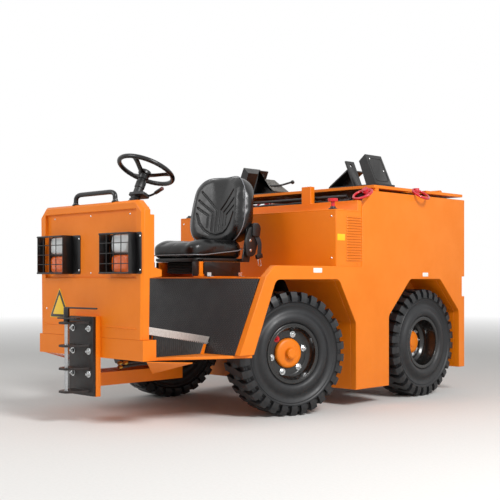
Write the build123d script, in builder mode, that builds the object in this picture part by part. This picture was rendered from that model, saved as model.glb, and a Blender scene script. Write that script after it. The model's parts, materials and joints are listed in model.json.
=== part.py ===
from build123d import *
import os
from math import atan2, cos, degrees, hypot, radians, sin

# Airport baggage tug, in millimetres.
# X points to the vehicle's left, Y to its rear and Z up; the front faces -Y.
# The origin is on the ground, under the middle of the whole length and width.
# A distance "behind the axle" is counted from the front axle, towards the rear.

# Driving sizes of the vehicle
WHEELBASE = 1442.0
FRONT_OVERHANG = 1180.0
BODY_HALF_WIDTH = 820.0
SIDE_WALL = 50.0
SHEET = 10.0
PANEL = 8.0
COWL_HALF_WIDTH = 555.0
FLOOR_HALF_WIDTH = 500.0
TYRE_RADIUS = 415.0
REAR_BODY_MARGIN = 103.0
REAR_OVERHANG = TYRE_RADIUS + REAR_BODY_MARGIN
TYRE_WIDTH = 250.0
REAR_TRACK = 1330.0
KINGPIN_HALF_SPREAD = 500.0
KINGPIN_TO_WHEEL = 175.0
STEER_AT_REST = 15.0

# Clearances
RUNNING_GAP = 0.5
SEAT_GAP = 0.3
MOVING_GAP = 8.0

# Heights above the ground
FRAME_BOTTOM = 236.0
FRAME_TOP = 320.0
RAIL_ABOVE_AXLES = 75.0
RAIL_HEIGHT = 110.0
RAIL_BOTTOM = TYRE_RADIUS + RAIL_ABOVE_AXLES
RAIL_TOP = RAIL_BOTTOM + RAIL_HEIGHT
SKIRT_BOTTOM = 125.0
REAR_SKIRT_BOTTOM = 198.0
BUMPER_BOTTOM = 418.0
COWL_BOTTOM = 544.0
SILL_TOP = 433.0
ARCH_CLEARANCE = 80.0
ARCH_TOP = 2 * TYRE_RADIUS + ARCH_CLEARANCE
HOUSING_SHEET = 6.0
DECK_TOP = ARCH_TOP + HOUSING_SHEET + SHEET
FENDER_RISE = 92.0
FENDER_TOP = ARCH_TOP + FENDER_RISE
HOOD_TOP = 1390.0
COAMING_TOP = 1474.0
BODY_TOP = 1552.0
LID_HEIGHT = 36.0
LID_BOTTOM = BODY_TOP + MOVING_GAP
LID_TOP = LID_BOTTOM + LID_HEIGHT

# Places behind the front axle
BAY_FRONT_FOOT = -667.0
HOOD_FRONT = 322.0
PILLAR_FRONT = 500.0
HOOD_REAR = 612.0
LID_FRONT = 752.0
PILLAR_REAR = 1000.0

# Tow coupling
TOW_PLATE_THICKNESS = 36.0
TOW_PLATE_HALF_WIDTH = 134.0
TOW_PLATE_MARGIN = 3.0
JAW_BLOCK_HALF_WIDTH = 130.0
JAW_BLOCK_BOTTOM = 176.0
JAW_BLOCK_TOP = 676.0
JAW_BACK_THICKNESS = 20.0
JAW_REACH = 146.0
JAW_THICKNESS = 14.0
JAW_ROOT_HALF_WIDTH = 92.0
JAW_HALF_WIDTH = 62.0
JAW_TIP_HALF_WIDTH = 31.0
JAW_BOTTOM = 199.0
JAW_PITCH = 144.0
JAW_COUNT = 4
PIN_RADIUS = 13.0
PIN_LAND_RADIUS = 13.6
PIN_LAND_MARGIN = 4.0
PIN_HOLE_RADIUS = 14.5
PIN_SETBACK = 38.0
PIN_TAIL = 6.0
PIN_HEAD_RADIUS = 17.0
PIN_HEAD_HEIGHT = 60.0

FRONT_REACH = FRONT_OVERHANG + TOW_PLATE_THICKNESS + JAW_BACK_THICKNESS + JAW_REACH
REAR_REACH = WHEELBASE + REAR_OVERHANG + JAW_BACK_THICKNESS + JAW_REACH
AXLE_Y = (FRONT_REACH - REAR_REACH) / 2
REAR_AXLE_Y = AXLE_Y + WHEELBASE
COWL_Y = AXLE_Y - FRONT_OVERHANG
REAR_Y = REAR_AXLE_Y + REAR_OVERHANG
BODY_INNER = BODY_HALF_WIDTH - SIDE_WALL
REAR_REST = WHEELBASE + REAR_OVERHANG

pieces = {}


def behind(distance):
    """The Y place of a point this far behind the front axle."""
    return AXLE_Y + distance


def both_sides(name, solid):
    """Keep the left piece and its mirror image on the right."""
    pieces[name + "_left"] = solid
    pieces[name + "_right"] = mirror(solid, about=Plane.YZ)


# Tyres and wheels, made round the X axis with the outer face towards +X
TREAD_DEPTH = 24.0
TREAD_SHOULDER = 34.0
SHOULDER_STEP = 16.0
SIDEWALL_INSET = 8.0
SIDEWALL_BULGE = 46.0
TREAD_EDGE = 66.0
TREAD_FOOT = 92.0
LUG_COUNT = 30
LUG_GROOVE_WIDTH = 26.0
LUG_GROOVE_REACH = 84.0
BEAD_RADIUS = 188.0
RIM_HALF_WIDTH = 100.0
RIM_FLANGE_RADIUS = 203.0
RIM_FLANGE_THICKNESS = 9.0
RIM_WALL = 9.0
DISC_THICKNESS = 14.0
DISC_DISH = 34.0
HUB_BODY_RADIUS = 78.0
HUB_FLANGE_RADIUS = 150.0
HUB_FLANGE_THICKNESS = 16.0
HUB_BODY_LENGTH = 60.0
HUB_BEVEL = (12.0, 16.0)
SPINDLE_RADIUS = 28.0
SPINDLE_SHORTFALL = 4.0

# Half section of the tyre from its bead outwards: (distance from the mid plane, radius)
TYRE_SECTION = (
    (RIM_HALF_WIDTH, BEAD_RADIUS),
    (RIM_HALF_WIDTH, RIM_FLANGE_RADIUS + RUNNING_GAP),
    (TYRE_WIDTH / 2 - SIDEWALL_INSET, BEAD_RADIUS + SIDEWALL_BULGE),
    (TYRE_WIDTH / 2 - SIDEWALL_INSET, TYRE_RADIUS - TREAD_FOOT),
    (TYRE_WIDTH / 2, TYRE_RADIUS - TREAD_EDGE),
    (TYRE_WIDTH / 2, TYRE_RADIUS - TREAD_SHOULDER),
    (TYRE_WIDTH / 2 - SHOULDER_STEP, TYRE_RADIUS),
)

with BuildPart() as tyre:
    with BuildSketch(Plane.XZ):
        with BuildLine():
            Polyline(*TYRE_SECTION, *[(-x, r) for x, r in reversed(TYRE_SECTION)], close=True)
        make_face()
    revolve(axis=Axis.X)
    # Lug grooves cut from each shoulder, the inner side half a pitch on
    for side, turn in ((1, 0.0), (-1, 180.0 / LUG_COUNT)):
        with BuildSketch(Plane.YZ.offset(side * TYRE_WIDTH / 2)):
            with PolarLocations(TYRE_RADIUS, LUG_COUNT, start_angle=turn):
                Rectangle(2 * TREAD_DEPTH, LUG_GROOVE_WIDTH)
        extrude(amount=-side * LUG_GROOVE_REACH, mode=Mode.SUBTRACT)


def build_rim(disc_offset, boss_radius):
    """A pressed wheel: barrel, two flanges and a dished disc with a boss hole."""
    barrel = BEAD_RADIUS - RUNNING_GAP
    flange = RIM_HALF_WIDTH + SEAT_GAP
    lip = flange + RIM_FLANGE_THICKNESS
    inner = barrel - RIM_WALL
    dish = inner - 4 * RIM_WALL
    hole = boss_radius + SEAT_GAP
    disc_face = disc_offset + DISC_THICKNESS
    with BuildPart() as rim:
        with BuildSketch(Plane.XZ):
            with BuildLine():
                Polyline(
                    (-flange, barrel), (flange, barrel), (flange, RIM_FLANGE_RADIUS),
                    (lip, RIM_FLANGE_RADIUS), (lip, inner), (disc_offset + DISC_DISH, inner - RIM_WALL),
                    (disc_face, dish), (disc_face, hole), (disc_offset, hole), (disc_offset, dish),
                    (disc_offset, inner), (-lip, inner), (-lip, RIM_FLANGE_RADIUS),
                    (-flange, RIM_FLANGE_RADIUS), close=True,
                )
            make_face()
        revolve(axis=Axis.X)
    return rim.part


def build_hub(disc_offset, boss_radius, boss_reach, cap_radius, cap_reach):
    """A wheel hub: body behind the disc, bevelled boss through it and an end cap."""
    back = disc_offset - SEAT_GAP
    front = disc_offset + DISC_THICKNESS + boss_reach
    bevel_length, bevel_drop = HUB_BEVEL
    with BuildPart() as hub:
        with BuildSketch(Plane.XZ):
            with BuildLine():
                Polyline(
                    (back - HUB_BODY_LENGTH, 0), (back - HUB_BODY_LENGTH, HUB_BODY_RADIUS),
                    (back - HUB_FLANGE_THICKNESS, HUB_BODY_RADIUS),
                    (back - HUB_FLANGE_THICKNESS, HUB_FLANGE_RADIUS),
                    (back, HUB_FLANGE_RADIUS), (back, boss_radius),
                    (front - bevel_length, boss_radius), (front, boss_radius - bevel_drop),
                    (front, cap_radius), (front + cap_reach, cap_radius),
                    (front + cap_reach, 0), close=True,
                )
            make_face()
        revolve(axis=Axis.X)
        with BuildSketch(Plane.YZ.offset(back - HUB_BODY_LENGTH)):
            Circle(SPINDLE_RADIUS + RUNNING_GAP)
        extrude(amount=HUB_BODY_LENGTH, mode=Mode.SUBTRACT)
    return hub.part


FRONT_DISC_OFFSET = 22.0
FRONT_BOSS_RADIUS = 100.0
FRONT_BOSS_REACH = 26.0
FRONT_CAP_RADIUS = 38.0
FRONT_CAP_REACH = 34.0
REAR_DISC_OFFSET = -40.0
REAR_BOSS_RADIUS = 87.0
REAR_BOSS_REACH = 34.0
REAR_CAP_RADIUS = 40.0
REAR_CAP_REACH = 6.0
front_rim = build_rim(FRONT_DISC_OFFSET, FRONT_BOSS_RADIUS)
rear_rim = build_rim(REAR_DISC_OFFSET, REAR_BOSS_RADIUS)
front_hub = build_hub(FRONT_DISC_OFFSET, FRONT_BOSS_RADIUS, FRONT_BOSS_REACH, FRONT_CAP_RADIUS, FRONT_CAP_REACH)
rear_hub = build_hub(REAR_DISC_OFFSET, REAR_BOSS_RADIUS, REAR_BOSS_REACH, REAR_CAP_RADIUS, REAR_CAP_REACH)
FRONT_HUB_BACK = FRONT_DISC_OFFSET - SEAT_GAP - HUB_BODY_LENGTH
REAR_HUB_BACK = REAR_DISC_OFFSET - SEAT_GAP - HUB_BODY_LENGTH

# The steered front wheels stand turned to the vehicle's right, about their kingpins
left_kingpin = Location((KINGPIN_HALF_SPREAD, AXLE_Y, TYRE_RADIUS), (0, 0, -STEER_AT_REST))
right_kingpin = Location((-KINGPIN_HALF_SPREAD, AXLE_Y, TYRE_RADIUS), (0, 0, 180 - STEER_AT_REST))
out_to_wheel = Location((KINGPIN_TO_WHEEL, 0, 0))
WHEEL_PLACES = {
    "front_left": (left_kingpin * out_to_wheel, front_rim, front_hub),
    "front_right": (right_kingpin * out_to_wheel, front_rim, front_hub),
    "rear_left": (Location((REAR_TRACK / 2, REAR_AXLE_Y, TYRE_RADIUS)), rear_rim, rear_hub),
    "rear_right": (Location((-REAR_TRACK / 2, REAR_AXLE_Y, TYRE_RADIUS), (0, 0, 180)), rear_rim, rear_hub),
}
for place, (location, rim, hub) in WHEEL_PLACES.items():
    pieces["tyre_" + place] = tyre.part.moved(location)
    pieces["rim_" + place] = rim.moved(location)
    pieces["hub_" + place] = hub.moved(location)

# Front axle beam with its forked ends, and the steering knuckles between the forks
AXLE_BEAM_HALF_HEIGHT = 45.0
AXLE_BEAM_DEPTH = 120.0
FORK_THICKNESS = 28.0
FORK_HALF_HEIGHT = 72.0
FORK_RADIUS = 40.0
FORK_LENGTH = 110.0
FORK_WEB = 50.0
KINGPIN_RADIUS = 18.0
KNUCKLE_RADIUS = 36.0
KNUCKLE_GAP = 0.8
SPINDLE_SHOULDER = 8.0

with BuildPart() as front_axle:
    with BuildSketch(Plane.XY.offset(TYRE_RADIUS - AXLE_BEAM_HALF_HEIGHT)):
        with Locations((0, AXLE_Y)):
            Rectangle(2 * (KINGPIN_HALF_SPREAD - FORK_LENGTH + FORK_WEB), AXLE_BEAM_DEPTH)
    extrude(amount=2 * AXLE_BEAM_HALF_HEIGHT)
    for side in (1, -1):
        for level in (-FORK_HALF_HEIGHT, FORK_HALF_HEIGHT - FORK_THICKNESS):
            with BuildSketch(Plane.XY.offset(TYRE_RADIUS + level)):
                with Locations((side * KINGPIN_HALF_SPREAD, AXLE_Y)):
                    Circle(FORK_RADIUS)
                with Locations((side * (KINGPIN_HALF_SPREAD - FORK_LENGTH / 2), AXLE_Y)):
                    Rectangle(FORK_LENGTH, 2 * FORK_RADIUS)
            extrude(amount=FORK_THICKNESS)
        with BuildSketch(Plane.XY.offset(TYRE_RADIUS - FORK_HALF_HEIGHT)):
            with Locations((side * (KINGPIN_HALF_SPREAD - FORK_LENGTH + FORK_WEB / 2), AXLE_Y)):
                Rectangle(FORK_WEB, 2 * FORK_RADIUS)
        extrude(amount=2 * FORK_HALF_HEIGHT)
        with BuildSketch(Plane.XY.offset(TYRE_RADIUS - FORK_HALF_HEIGHT)):
            with Locations((side * KINGPIN_HALF_SPREAD, AXLE_Y)):
                Circle(KINGPIN_RADIUS + RUNNING_GAP)
        extrude(amount=2 * FORK_HALF_HEIGHT, mode=Mode.SUBTRACT)
pieces["front_axle"] = front_axle.part

knuckle_half = FORK_HALF_HEIGHT - FORK_THICKNESS - KNUCKLE_GAP
spindle_start = KINGPIN_TO_WHEEL + FRONT_HUB_BACK
with BuildPart() as knuckle:
    for radius, half_height in ((KNUCKLE_RADIUS, knuckle_half), (KINGPIN_RADIUS, FORK_HALF_HEIGHT)):
        with BuildSketch(Plane.XY.offset(-half_height)):
            Circle(radius)
        extrude(amount=2 * half_height)
    for radius, reach in ((SPINDLE_RADIUS + SPINDLE_SHOULDER, spindle_start - SEAT_GAP),
                          (SPINDLE_RADIUS, spindle_start + HUB_BODY_LENGTH - SPINDLE_SHORTFALL)):
        with BuildSketch(Plane.YZ):
            Circle(radius)
        extrude(amount=reach)
pieces["knuckle_left"] = knuckle.part.moved(left_kingpin)
pieces["knuckle_right"] = knuckle.part.moved(right_kingpin)

# Rear drive axle: two tubes, the gear case in the middle and the drive motor ahead of it
AXLE_TUBE_RADIUS = 55.0
GEAR_CASE_RADIUS = 150.0
GEAR_CASE_HALF_WIDTH = 110.0
MOTOR_RADIUS = 140.0
MOTOR_LENGTH = 380.0
rear_axle_end = REAR_TRACK / 2 + REAR_HUB_BACK - SEAT_GAP
rear_spindle_end = rear_axle_end + SEAT_GAP + HUB_BODY_LENGTH - SPINDLE_SHORTFALL

with BuildPart() as rear_axle:
    for half, radius in ((rear_axle_end, AXLE_TUBE_RADIUS), (rear_spindle_end, SPINDLE_RADIUS),
                         (GEAR_CASE_HALF_WIDTH, GEAR_CASE_RADIUS)):
        with BuildSketch(Plane.YZ.offset(-half)):
            with Locations((REAR_AXLE_Y, TYRE_RADIUS)):
                Circle(radius)
        extrude(amount=2 * half)
    with BuildSketch(Plane.XZ.offset(-REAR_AXLE_Y)):
        with Locations((0, TYRE_RADIUS)):
            Circle(MOTOR_RADIUS)
    extrude(amount=GEAR_CASE_RADIUS + MOTOR_LENGTH)
pieces["rear_axle"] = rear_axle.part

# Chassis: upper rails over the axles, cross members, low towing beams, bumper and tow plate
RAIL_INNER = 190.0
RAIL_WIDTH = 80.0
CROSS_MEMBER = 60.0
SADDLE_LENGTH = 90.0
BEAM_HALF_WIDTH = 112.0
BAY_SLOPE = 0.44
BUMPER_DEPTH = 104.0
rail_front = behind(BAY_FRONT_FOOT + BAY_SLOPE * (RAIL_TOP - SILL_TOP)) + CROSS_MEMBER
rail_middle = RAIL_INNER + RAIL_WIDTH / 2
rear_beam_start = REAR_AXLE_Y + GEAR_CASE_RADIUS + CROSS_MEMBER
frame_width = 2 * (RAIL_INNER + RAIL_WIDTH)
rail_length = REAR_Y - rail_front
front_member = rail_front + CROSS_MEMBER / 2
rear_member = REAR_Y - CROSS_MEMBER / 2
front_saddle_z = TYRE_RADIUS + AXLE_BEAM_HALF_HEIGHT + SEAT_GAP
rear_saddle_z = TYRE_RADIUS + AXLE_TUBE_RADIUS + SEAT_GAP

# Columns: x and y of the middle, width, length, bottom, top
CHASSIS_BLOCKS = (
    (rail_middle, rail_front + rail_length / 2, RAIL_WIDTH, rail_length, RAIL_BOTTOM, RAIL_TOP),
    (-rail_middle, rail_front + rail_length / 2, RAIL_WIDTH, rail_length, RAIL_BOTTOM, RAIL_TOP),
    (0, front_member, frame_width, CROSS_MEMBER, RAIL_BOTTOM, RAIL_TOP),
    (0, rear_member, frame_width, CROSS_MEMBER, RAIL_BOTTOM, RAIL_TOP),
    (rail_middle, AXLE_Y, RAIL_WIDTH, SADDLE_LENGTH, front_saddle_z, RAIL_BOTTOM),
    (-rail_middle, AXLE_Y, RAIL_WIDTH, SADDLE_LENGTH, front_saddle_z, RAIL_BOTTOM),
    (rail_middle, REAR_AXLE_Y, RAIL_WIDTH, SADDLE_LENGTH, rear_saddle_z, RAIL_BOTTOM),
    (-rail_middle, REAR_AXLE_Y, RAIL_WIDTH, SADDLE_LENGTH, rear_saddle_z, RAIL_BOTTOM),
    (0, (COWL_Y + rail_front + CROSS_MEMBER) / 2, 2 * BEAM_HALF_WIDTH, rail_front + CROSS_MEMBER - COWL_Y,
     FRAME_BOTTOM, FRAME_TOP),
    (0, (rear_beam_start + REAR_Y) / 2, 2 * BEAM_HALF_WIDTH, REAR_Y - rear_beam_start, FRAME_BOTTOM, FRAME_TOP),
    (0, front_member, 2 * BEAM_HALF_WIDTH, CROSS_MEMBER, FRAME_TOP, RAIL_BOTTOM),
    (0, rear_member, 2 * BEAM_HALF_WIDTH, CROSS_MEMBER, FRAME_TOP, RAIL_BOTTOM),
    (0, COWL_Y + BUMPER_DEPTH / 2, 2 * COWL_HALF_WIDTH, BUMPER_DEPTH, BUMPER_BOTTOM, COWL_BOTTOM),
    (0, COWL_Y - TOW_PLATE_THICKNESS / 2, 2 * TOW_PLATE_HALF_WIDTH, TOW_PLATE_THICKNESS,
     JAW_BLOCK_BOTTOM - TOW_PLATE_MARGIN, COWL_BOTTOM),
)
with BuildPart() as chassis:
    for x, y, width, length, bottom, top in CHASSIS_BLOCKS:
        with BuildSketch(Plane.XY.offset(bottom)):
            with Locations((x, y)):
                Rectangle(width, length)
        extrude(amount=top - bottom)
    # The upper part of the tow plate stands free in front of the cowl
    with BuildSketch(Plane.XY.offset(COWL_BOTTOM)):
        with Locations((0, COWL_Y - (TOW_PLATE_THICKNESS + SEAT_GAP) / 2)):
            Rectangle(2 * TOW_PLATE_HALF_WIDTH, TOW_PLATE_THICKNESS - SEAT_GAP)
    extrude(amount=JAW_BLOCK_TOP + TOW_PLATE_MARGIN - COWL_BOTTOM)
pieces["chassis_frame"] = chassis.part

# Outlines of the wheel arches: (distance behind the wheel's own axle, height)
ARCH_FILLET = 55.0
ARCH_FOOT = 100.0
front_arch_start = -TYRE_RADIUS - 105.0
front_arch_end = TYRE_RADIUS + 125.0
rear_arch_start = -TYRE_RADIUS - 96.0
rear_arch_end = TYRE_RADIUS + 23.0
FRONT_ARCH = (
    (front_arch_start, TYRE_RADIUS - 38.0), (-288.0, ARCH_TOP), (352.0, ARCH_TOP),
    (front_arch_end, TYRE_RADIUS + 185.0), (front_arch_end, ARCH_FOOT), (front_arch_start, ARCH_FOOT),
)
REAR_ARCH = (
    (rear_arch_start, ARCH_FOOT), (rear_arch_start, TYRE_RADIUS + 225.0), (-237.0, ARCH_TOP), (166.0, ARCH_TOP),
    (rear_arch_end, TYRE_RADIUS + 237.0), (rear_arch_end, ARCH_FOOT),
)


def arch_face(axle_y, points, grow=0.0):
    """The face of an arch opening with its corners above the axle rounded, grown by a wall."""
    with BuildSketch() as arch:
        with BuildLine():
            Polyline(*[(axle_y + d, z) for d, z in points], close=True)
        make_face()
        fillet([corner for corner in arch.vertices() if corner.Y > TYRE_RADIUS], ARCH_FILLET)
        if grow:
            offset(amount=grow)
    return arch.sketch


# Outline of a body side: (distance behind the front axle, height)
CORNER_NOTCH_DEPTH = 36.0
CORNER_NOTCH_BOTTOM = 770.0
CORNER_NOTCH_TOP = 930.0
SLOPE_FOOT_Z = 1430.0
SLOPE_TOP = 742.0
SIDE_OUTLINE = (
    (BAY_FRONT_FOOT, SILL_TOP), (-432.0, FENDER_TOP - 72.0), (-322.0, FENDER_TOP), (HOOD_REAR, FENDER_TOP),
    (HOOD_REAR, SLOPE_FOOT_Z), (SLOPE_TOP, BODY_TOP), (REAR_REST, BODY_TOP),
    (REAR_REST, CORNER_NOTCH_TOP), (REAR_REST - CORNER_NOTCH_DEPTH, CORNER_NOTCH_TOP),
    (REAR_REST - CORNER_NOTCH_DEPTH, CORNER_NOTCH_BOTTOM), (REAR_REST, CORNER_NOTCH_BOTTOM),
    (REAR_REST, REAR_SKIRT_BOTTOM), (PILLAR_REAR, REAR_SKIRT_BOTTOM),
    (PILLAR_REAR, SKIRT_BOTTOM), (PILLAR_FRONT, SKIRT_BOTTOM), (PILLAR_FRONT, SILL_TOP),
)
with BuildPart() as body_side:
    with BuildSketch(Plane.YZ.offset(BODY_INNER)):
        with BuildLine():
            Polyline(*[(behind(d), z) for d, z in SIDE_OUTLINE], close=True)
        make_face()
        add(arch_face(AXLE_Y, FRONT_ARCH), mode=Mode.SUBTRACT)
        add(arch_face(REAR_AXLE_Y, REAR_ARCH), mode=Mode.SUBTRACT)
    extrude(amount=SIDE_WALL)
both_sides("body_side", body_side.part)

# Housings round the wheels, in sheet: rear wall of the front bay and a box over the rear wheel
FRONT_BAY_INNER = 300.0
TYRE_TO_HOUSING = 30.0
REAR_BAY_INNER = REAR_TRACK / 2 - TYRE_WIDTH / 2 - TYRE_TO_HOUSING
AXLE_WINDOW_WIDTH = 340.0
AXLE_WINDOW_TOP = 645.0

with BuildPart() as housings:
    for axle_y, points, inner in ((AXLE_Y, FRONT_ARCH, FRONT_BAY_INNER), (REAR_AXLE_Y, REAR_ARCH, REAR_BAY_INNER)):
        with BuildSketch(Plane.YZ.offset(inner)):
            add(arch_face(axle_y, points, HOUSING_SHEET))
            add(arch_face(axle_y, points), mode=Mode.SUBTRACT)
        extrude(amount=BODY_INNER - SEAT_GAP - inner)
    with BuildSketch(Plane.YZ.offset(REAR_BAY_INNER)):
        add(arch_face(REAR_AXLE_Y, REAR_ARCH))
        with Locations((REAR_AXLE_Y, AXLE_WINDOW_TOP / 2)):
            Rectangle(AXLE_WINDOW_WIDTH, AXLE_WINDOW_TOP, mode=Mode.SUBTRACT)
    extrude(amount=HOUSING_SHEET)
    # The front bay keeps its rear wall alone, and no sheet hangs below the skirts.
    # Columns: start and end behind the front axle, height of the cut's top
    for start, end, top in ((BAY_FRONT_FOOT, HOOD_FRONT, BODY_TOP), (BAY_FRONT_FOOT, REAR_REST, SKIRT_BOTTOM),
                            (PILLAR_REAR, REAR_REST, REAR_SKIRT_BOTTOM)):
        with BuildSketch(Plane.YZ.offset(FRONT_BAY_INNER)):
            with Locations((behind((start + end) / 2), top / 2)):
                Rectangle(end - start, top)
        extrude(amount=BODY_HALF_WIDTH, mode=Mode.SUBTRACT)
    mirror(about=Plane.YZ)
pieces["wheel_housings"] = housings.part

# Seat deck with the seat's two channel walls, its sloping front wall, and the footwell floor
MAT_WALL_THICKNESS = 12.0
PLINTH_HALF_WIDTH = 250.0
PLINTH_FLANGE = 40.0
PLINTH_FRONT = -470.0
PLINTH_REAR = -60.0
PLINTH_HEIGHT = 106.0
PLINTH_TOP = DECK_TOP + PLINTH_HEIGHT
mat_top = behind(BAY_FRONT_FOOT + BAY_SLOPE * (DECK_TOP - SILL_TOP))
mat_foot = behind(BAY_FRONT_FOOT)

with BuildPart() as mat_wall:
    with BuildSketch(Plane.YZ.offset(-(BODY_INNER - SEAT_GAP))):
        with BuildLine():
            Polyline(
                (mat_foot, SILL_TOP), (mat_top, DECK_TOP - SHEET), (mat_top + MAT_WALL_THICKNESS, DECK_TOP - SHEET),
                (mat_foot + MAT_WALL_THICKNESS, SILL_TOP), close=True,
            )
        make_face()
    extrude(amount=2 * (BODY_INNER - SEAT_GAP))
pieces["footwell_rear_wall"] = mat_wall.part

with BuildPart() as seat_deck:
    with BuildSketch(Plane.XY.offset(DECK_TOP - SHEET)):
        with Locations((0, (mat_top + behind(HOOD_REAR)) / 2)):
            Rectangle(2 * (BODY_INNER - SEAT_GAP), behind(HOOD_REAR) - mat_top)
    extrude(amount=SHEET)
    for side in (1, -1):
        with BuildSketch(Plane.XZ.offset(-behind(PLINTH_REAR))):
            with Locations((side * (PLINTH_HALF_WIDTH - SHEET / 2), (DECK_TOP + PLINTH_TOP) / 2)):
                Rectangle(SHEET, PLINTH_TOP - DECK_TOP)
            with Locations((side * (PLINTH_HALF_WIDTH - PLINTH_FLANGE / 2), PLINTH_TOP - SHEET / 2)):
                Rectangle(PLINTH_FLANGE, SHEET)
        extrude(amount=PLINTH_REAR - PLINTH_FRONT)
pieces["seat_deck"] = seat_deck.part

FLOOR_FRONT = -1066.0
FLOOR_FRONT_TOP = 618.0
FLOOR_REAR_TOP = 540.0
FLOOR_THICKNESS = 48.0
FLOOR_REAR_GAP = 6.0
floor_rear = behind(BAY_FRONT_FOOT + BAY_SLOPE * (FLOOR_REAR_TOP - SILL_TOP)) - FLOOR_REAR_GAP
floor_rear_foot = floor_rear - BAY_SLOPE * FLOOR_THICKNESS
with BuildPart() as floor_plate:
    with BuildSketch(Plane.YZ.offset(-FLOOR_HALF_WIDTH)):
        with BuildLine():
            Polyline(
                (behind(FLOOR_FRONT), FLOOR_FRONT_TOP), (floor_rear, FLOOR_REAR_TOP),
                (floor_rear_foot, FLOOR_REAR_TOP - FLOOR_THICKNESS),
                (behind(FLOOR_FRONT), FLOOR_FRONT_TOP - FLOOR_THICKNESS), close=True,
            )
        make_face()
    extrude(amount=2 * FLOOR_HALF_WIDTH)
pieces["floor_plate"] = floor_plate.part

# Entry steps: a flat sill that widens to the fender, with a riser up to the floor's edge
SILL_THICKNESS = 18.0
SILL_CORNER = -1046.0
SILL_OUTER = -511.0
SILL_WALL_END = -545.0
SILL_SIDE_INSET = 20.0
RISER_THICKNESS = 12.0
RISER_INSET = 4.0
sill_front = COWL_Y + BUMPER_DEPTH
riser_front = behind(FLOOR_FRONT) + SHEET
riser_x = FLOOR_HALF_WIDTH - RISER_THICKNESS - RISER_INSET
with BuildPart() as steps:
    with BuildSketch(Plane.XY.offset(SILL_TOP - SILL_THICKNESS - SEAT_GAP)):
        with BuildLine():
            Polyline(
                (BEAM_HALF_WIDTH, sill_front), (COWL_HALF_WIDTH - SILL_SIDE_INSET, sill_front),
                (COWL_HALF_WIDTH - SILL_SIDE_INSET, behind(SILL_CORNER)), (BODY_HALF_WIDTH, behind(SILL_OUTER)),
                (BODY_INNER, behind(SILL_WALL_END)),
                (BEAM_HALF_WIDTH, mat_foot + MAT_WALL_THICKNESS), close=True,
            )
        make_face()
    extrude(amount=SILL_THICKNESS)
    with BuildSketch(Plane.YZ.offset(riser_x)):
        with BuildLine():
            Polyline(
                (riser_front, FLOOR_FRONT_TOP - FLOOR_THICKNESS - RISER_INSET),
                (floor_rear_foot - RISER_INSET, FLOOR_REAR_TOP - FLOOR_THICKNESS),
                (mat_foot - RISER_INSET, SILL_TOP - SEAT_GAP), (riser_front, SILL_TOP - SEAT_GAP), close=True,
            )
        make_face()
    extrude(amount=RISER_THICKNESS)
    mirror(about=Plane.YZ)
pieces["entry_steps"] = steps.part

# Front cowl: a box of sheet with a recessed face for the lamps
COWL_TOP = 1396.0
COWL_DEPTH = 104.0
COWL_CHAMFER = 62.0
COWL_FOOT_INSET = 16.0
COWL_SHOULDER_INSET = 8.0
COWL_EDGE_FOLD = (27.0, 16.0)
RECESS_HALF_WIDTH = 432.0
RECESS_BOTTOM = 930.0
RECESS_TOP = 1342.0
RECESS_DEPTH = 22.0
COWL_SIDE_WALL = 90.0
COWL_END_WALL = 50.0

cowl_plane = Plane.XZ.offset(-COWL_Y)
cowl_rear_y = COWL_Y + COWL_DEPTH
cowl_back = Plane.XZ.offset(-cowl_rear_y)
foot_x = COWL_HALF_WIDTH - COWL_FOOT_INSET
shoulder_x = COWL_HALF_WIDTH - COWL_SHOULDER_INSET
fold_width, fold_depth = COWL_EDGE_FOLD
with BuildPart() as cowl:
    with BuildSketch(cowl_back):
        with BuildLine():
            Polyline(
                (-foot_x, COWL_BOTTOM + SEAT_GAP), (foot_x, COWL_BOTTOM + SEAT_GAP),
                (shoulder_x, COWL_TOP - COWL_CHAMFER), (shoulder_x - COWL_CHAMFER, COWL_TOP),
                (COWL_CHAMFER - shoulder_x, COWL_TOP), (-shoulder_x, COWL_TOP - COWL_CHAMFER), close=True,
            )
        make_face()
    extrude(amount=COWL_DEPTH)
    front_edges = cowl.edges().filter_by_position(Axis.Y, COWL_Y - SEAT_GAP, COWL_Y + SEAT_GAP).sort_by(Axis.Z)[1:]
    chamfer(front_edges, length=fold_width, length2=fold_depth, reference=cowl.faces().sort_by(Axis.Y)[0])
    with BuildSketch(cowl_plane):
        with Locations((0, (RECESS_BOTTOM + RECESS_TOP) / 2)):
            Rectangle(2 * RECESS_HALF_WIDTH, RECESS_TOP - RECESS_BOTTOM)
    extrude(amount=-RECESS_DEPTH, mode=Mode.SUBTRACT)
    # Hollow behind, open to the footwell
    with BuildSketch(cowl_back):
        with Locations((0, (COWL_BOTTOM + COWL_TOP) / 2)):
            Rectangle(2 * (COWL_HALF_WIDTH - COWL_SIDE_WALL), COWL_TOP - COWL_BOTTOM - 2 * COWL_END_WALL)
    extrude(amount=COWL_DEPTH - RECESS_DEPTH - SHEET, mode=Mode.SUBTRACT)
pieces["front_cowl"] = cowl.part

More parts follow.
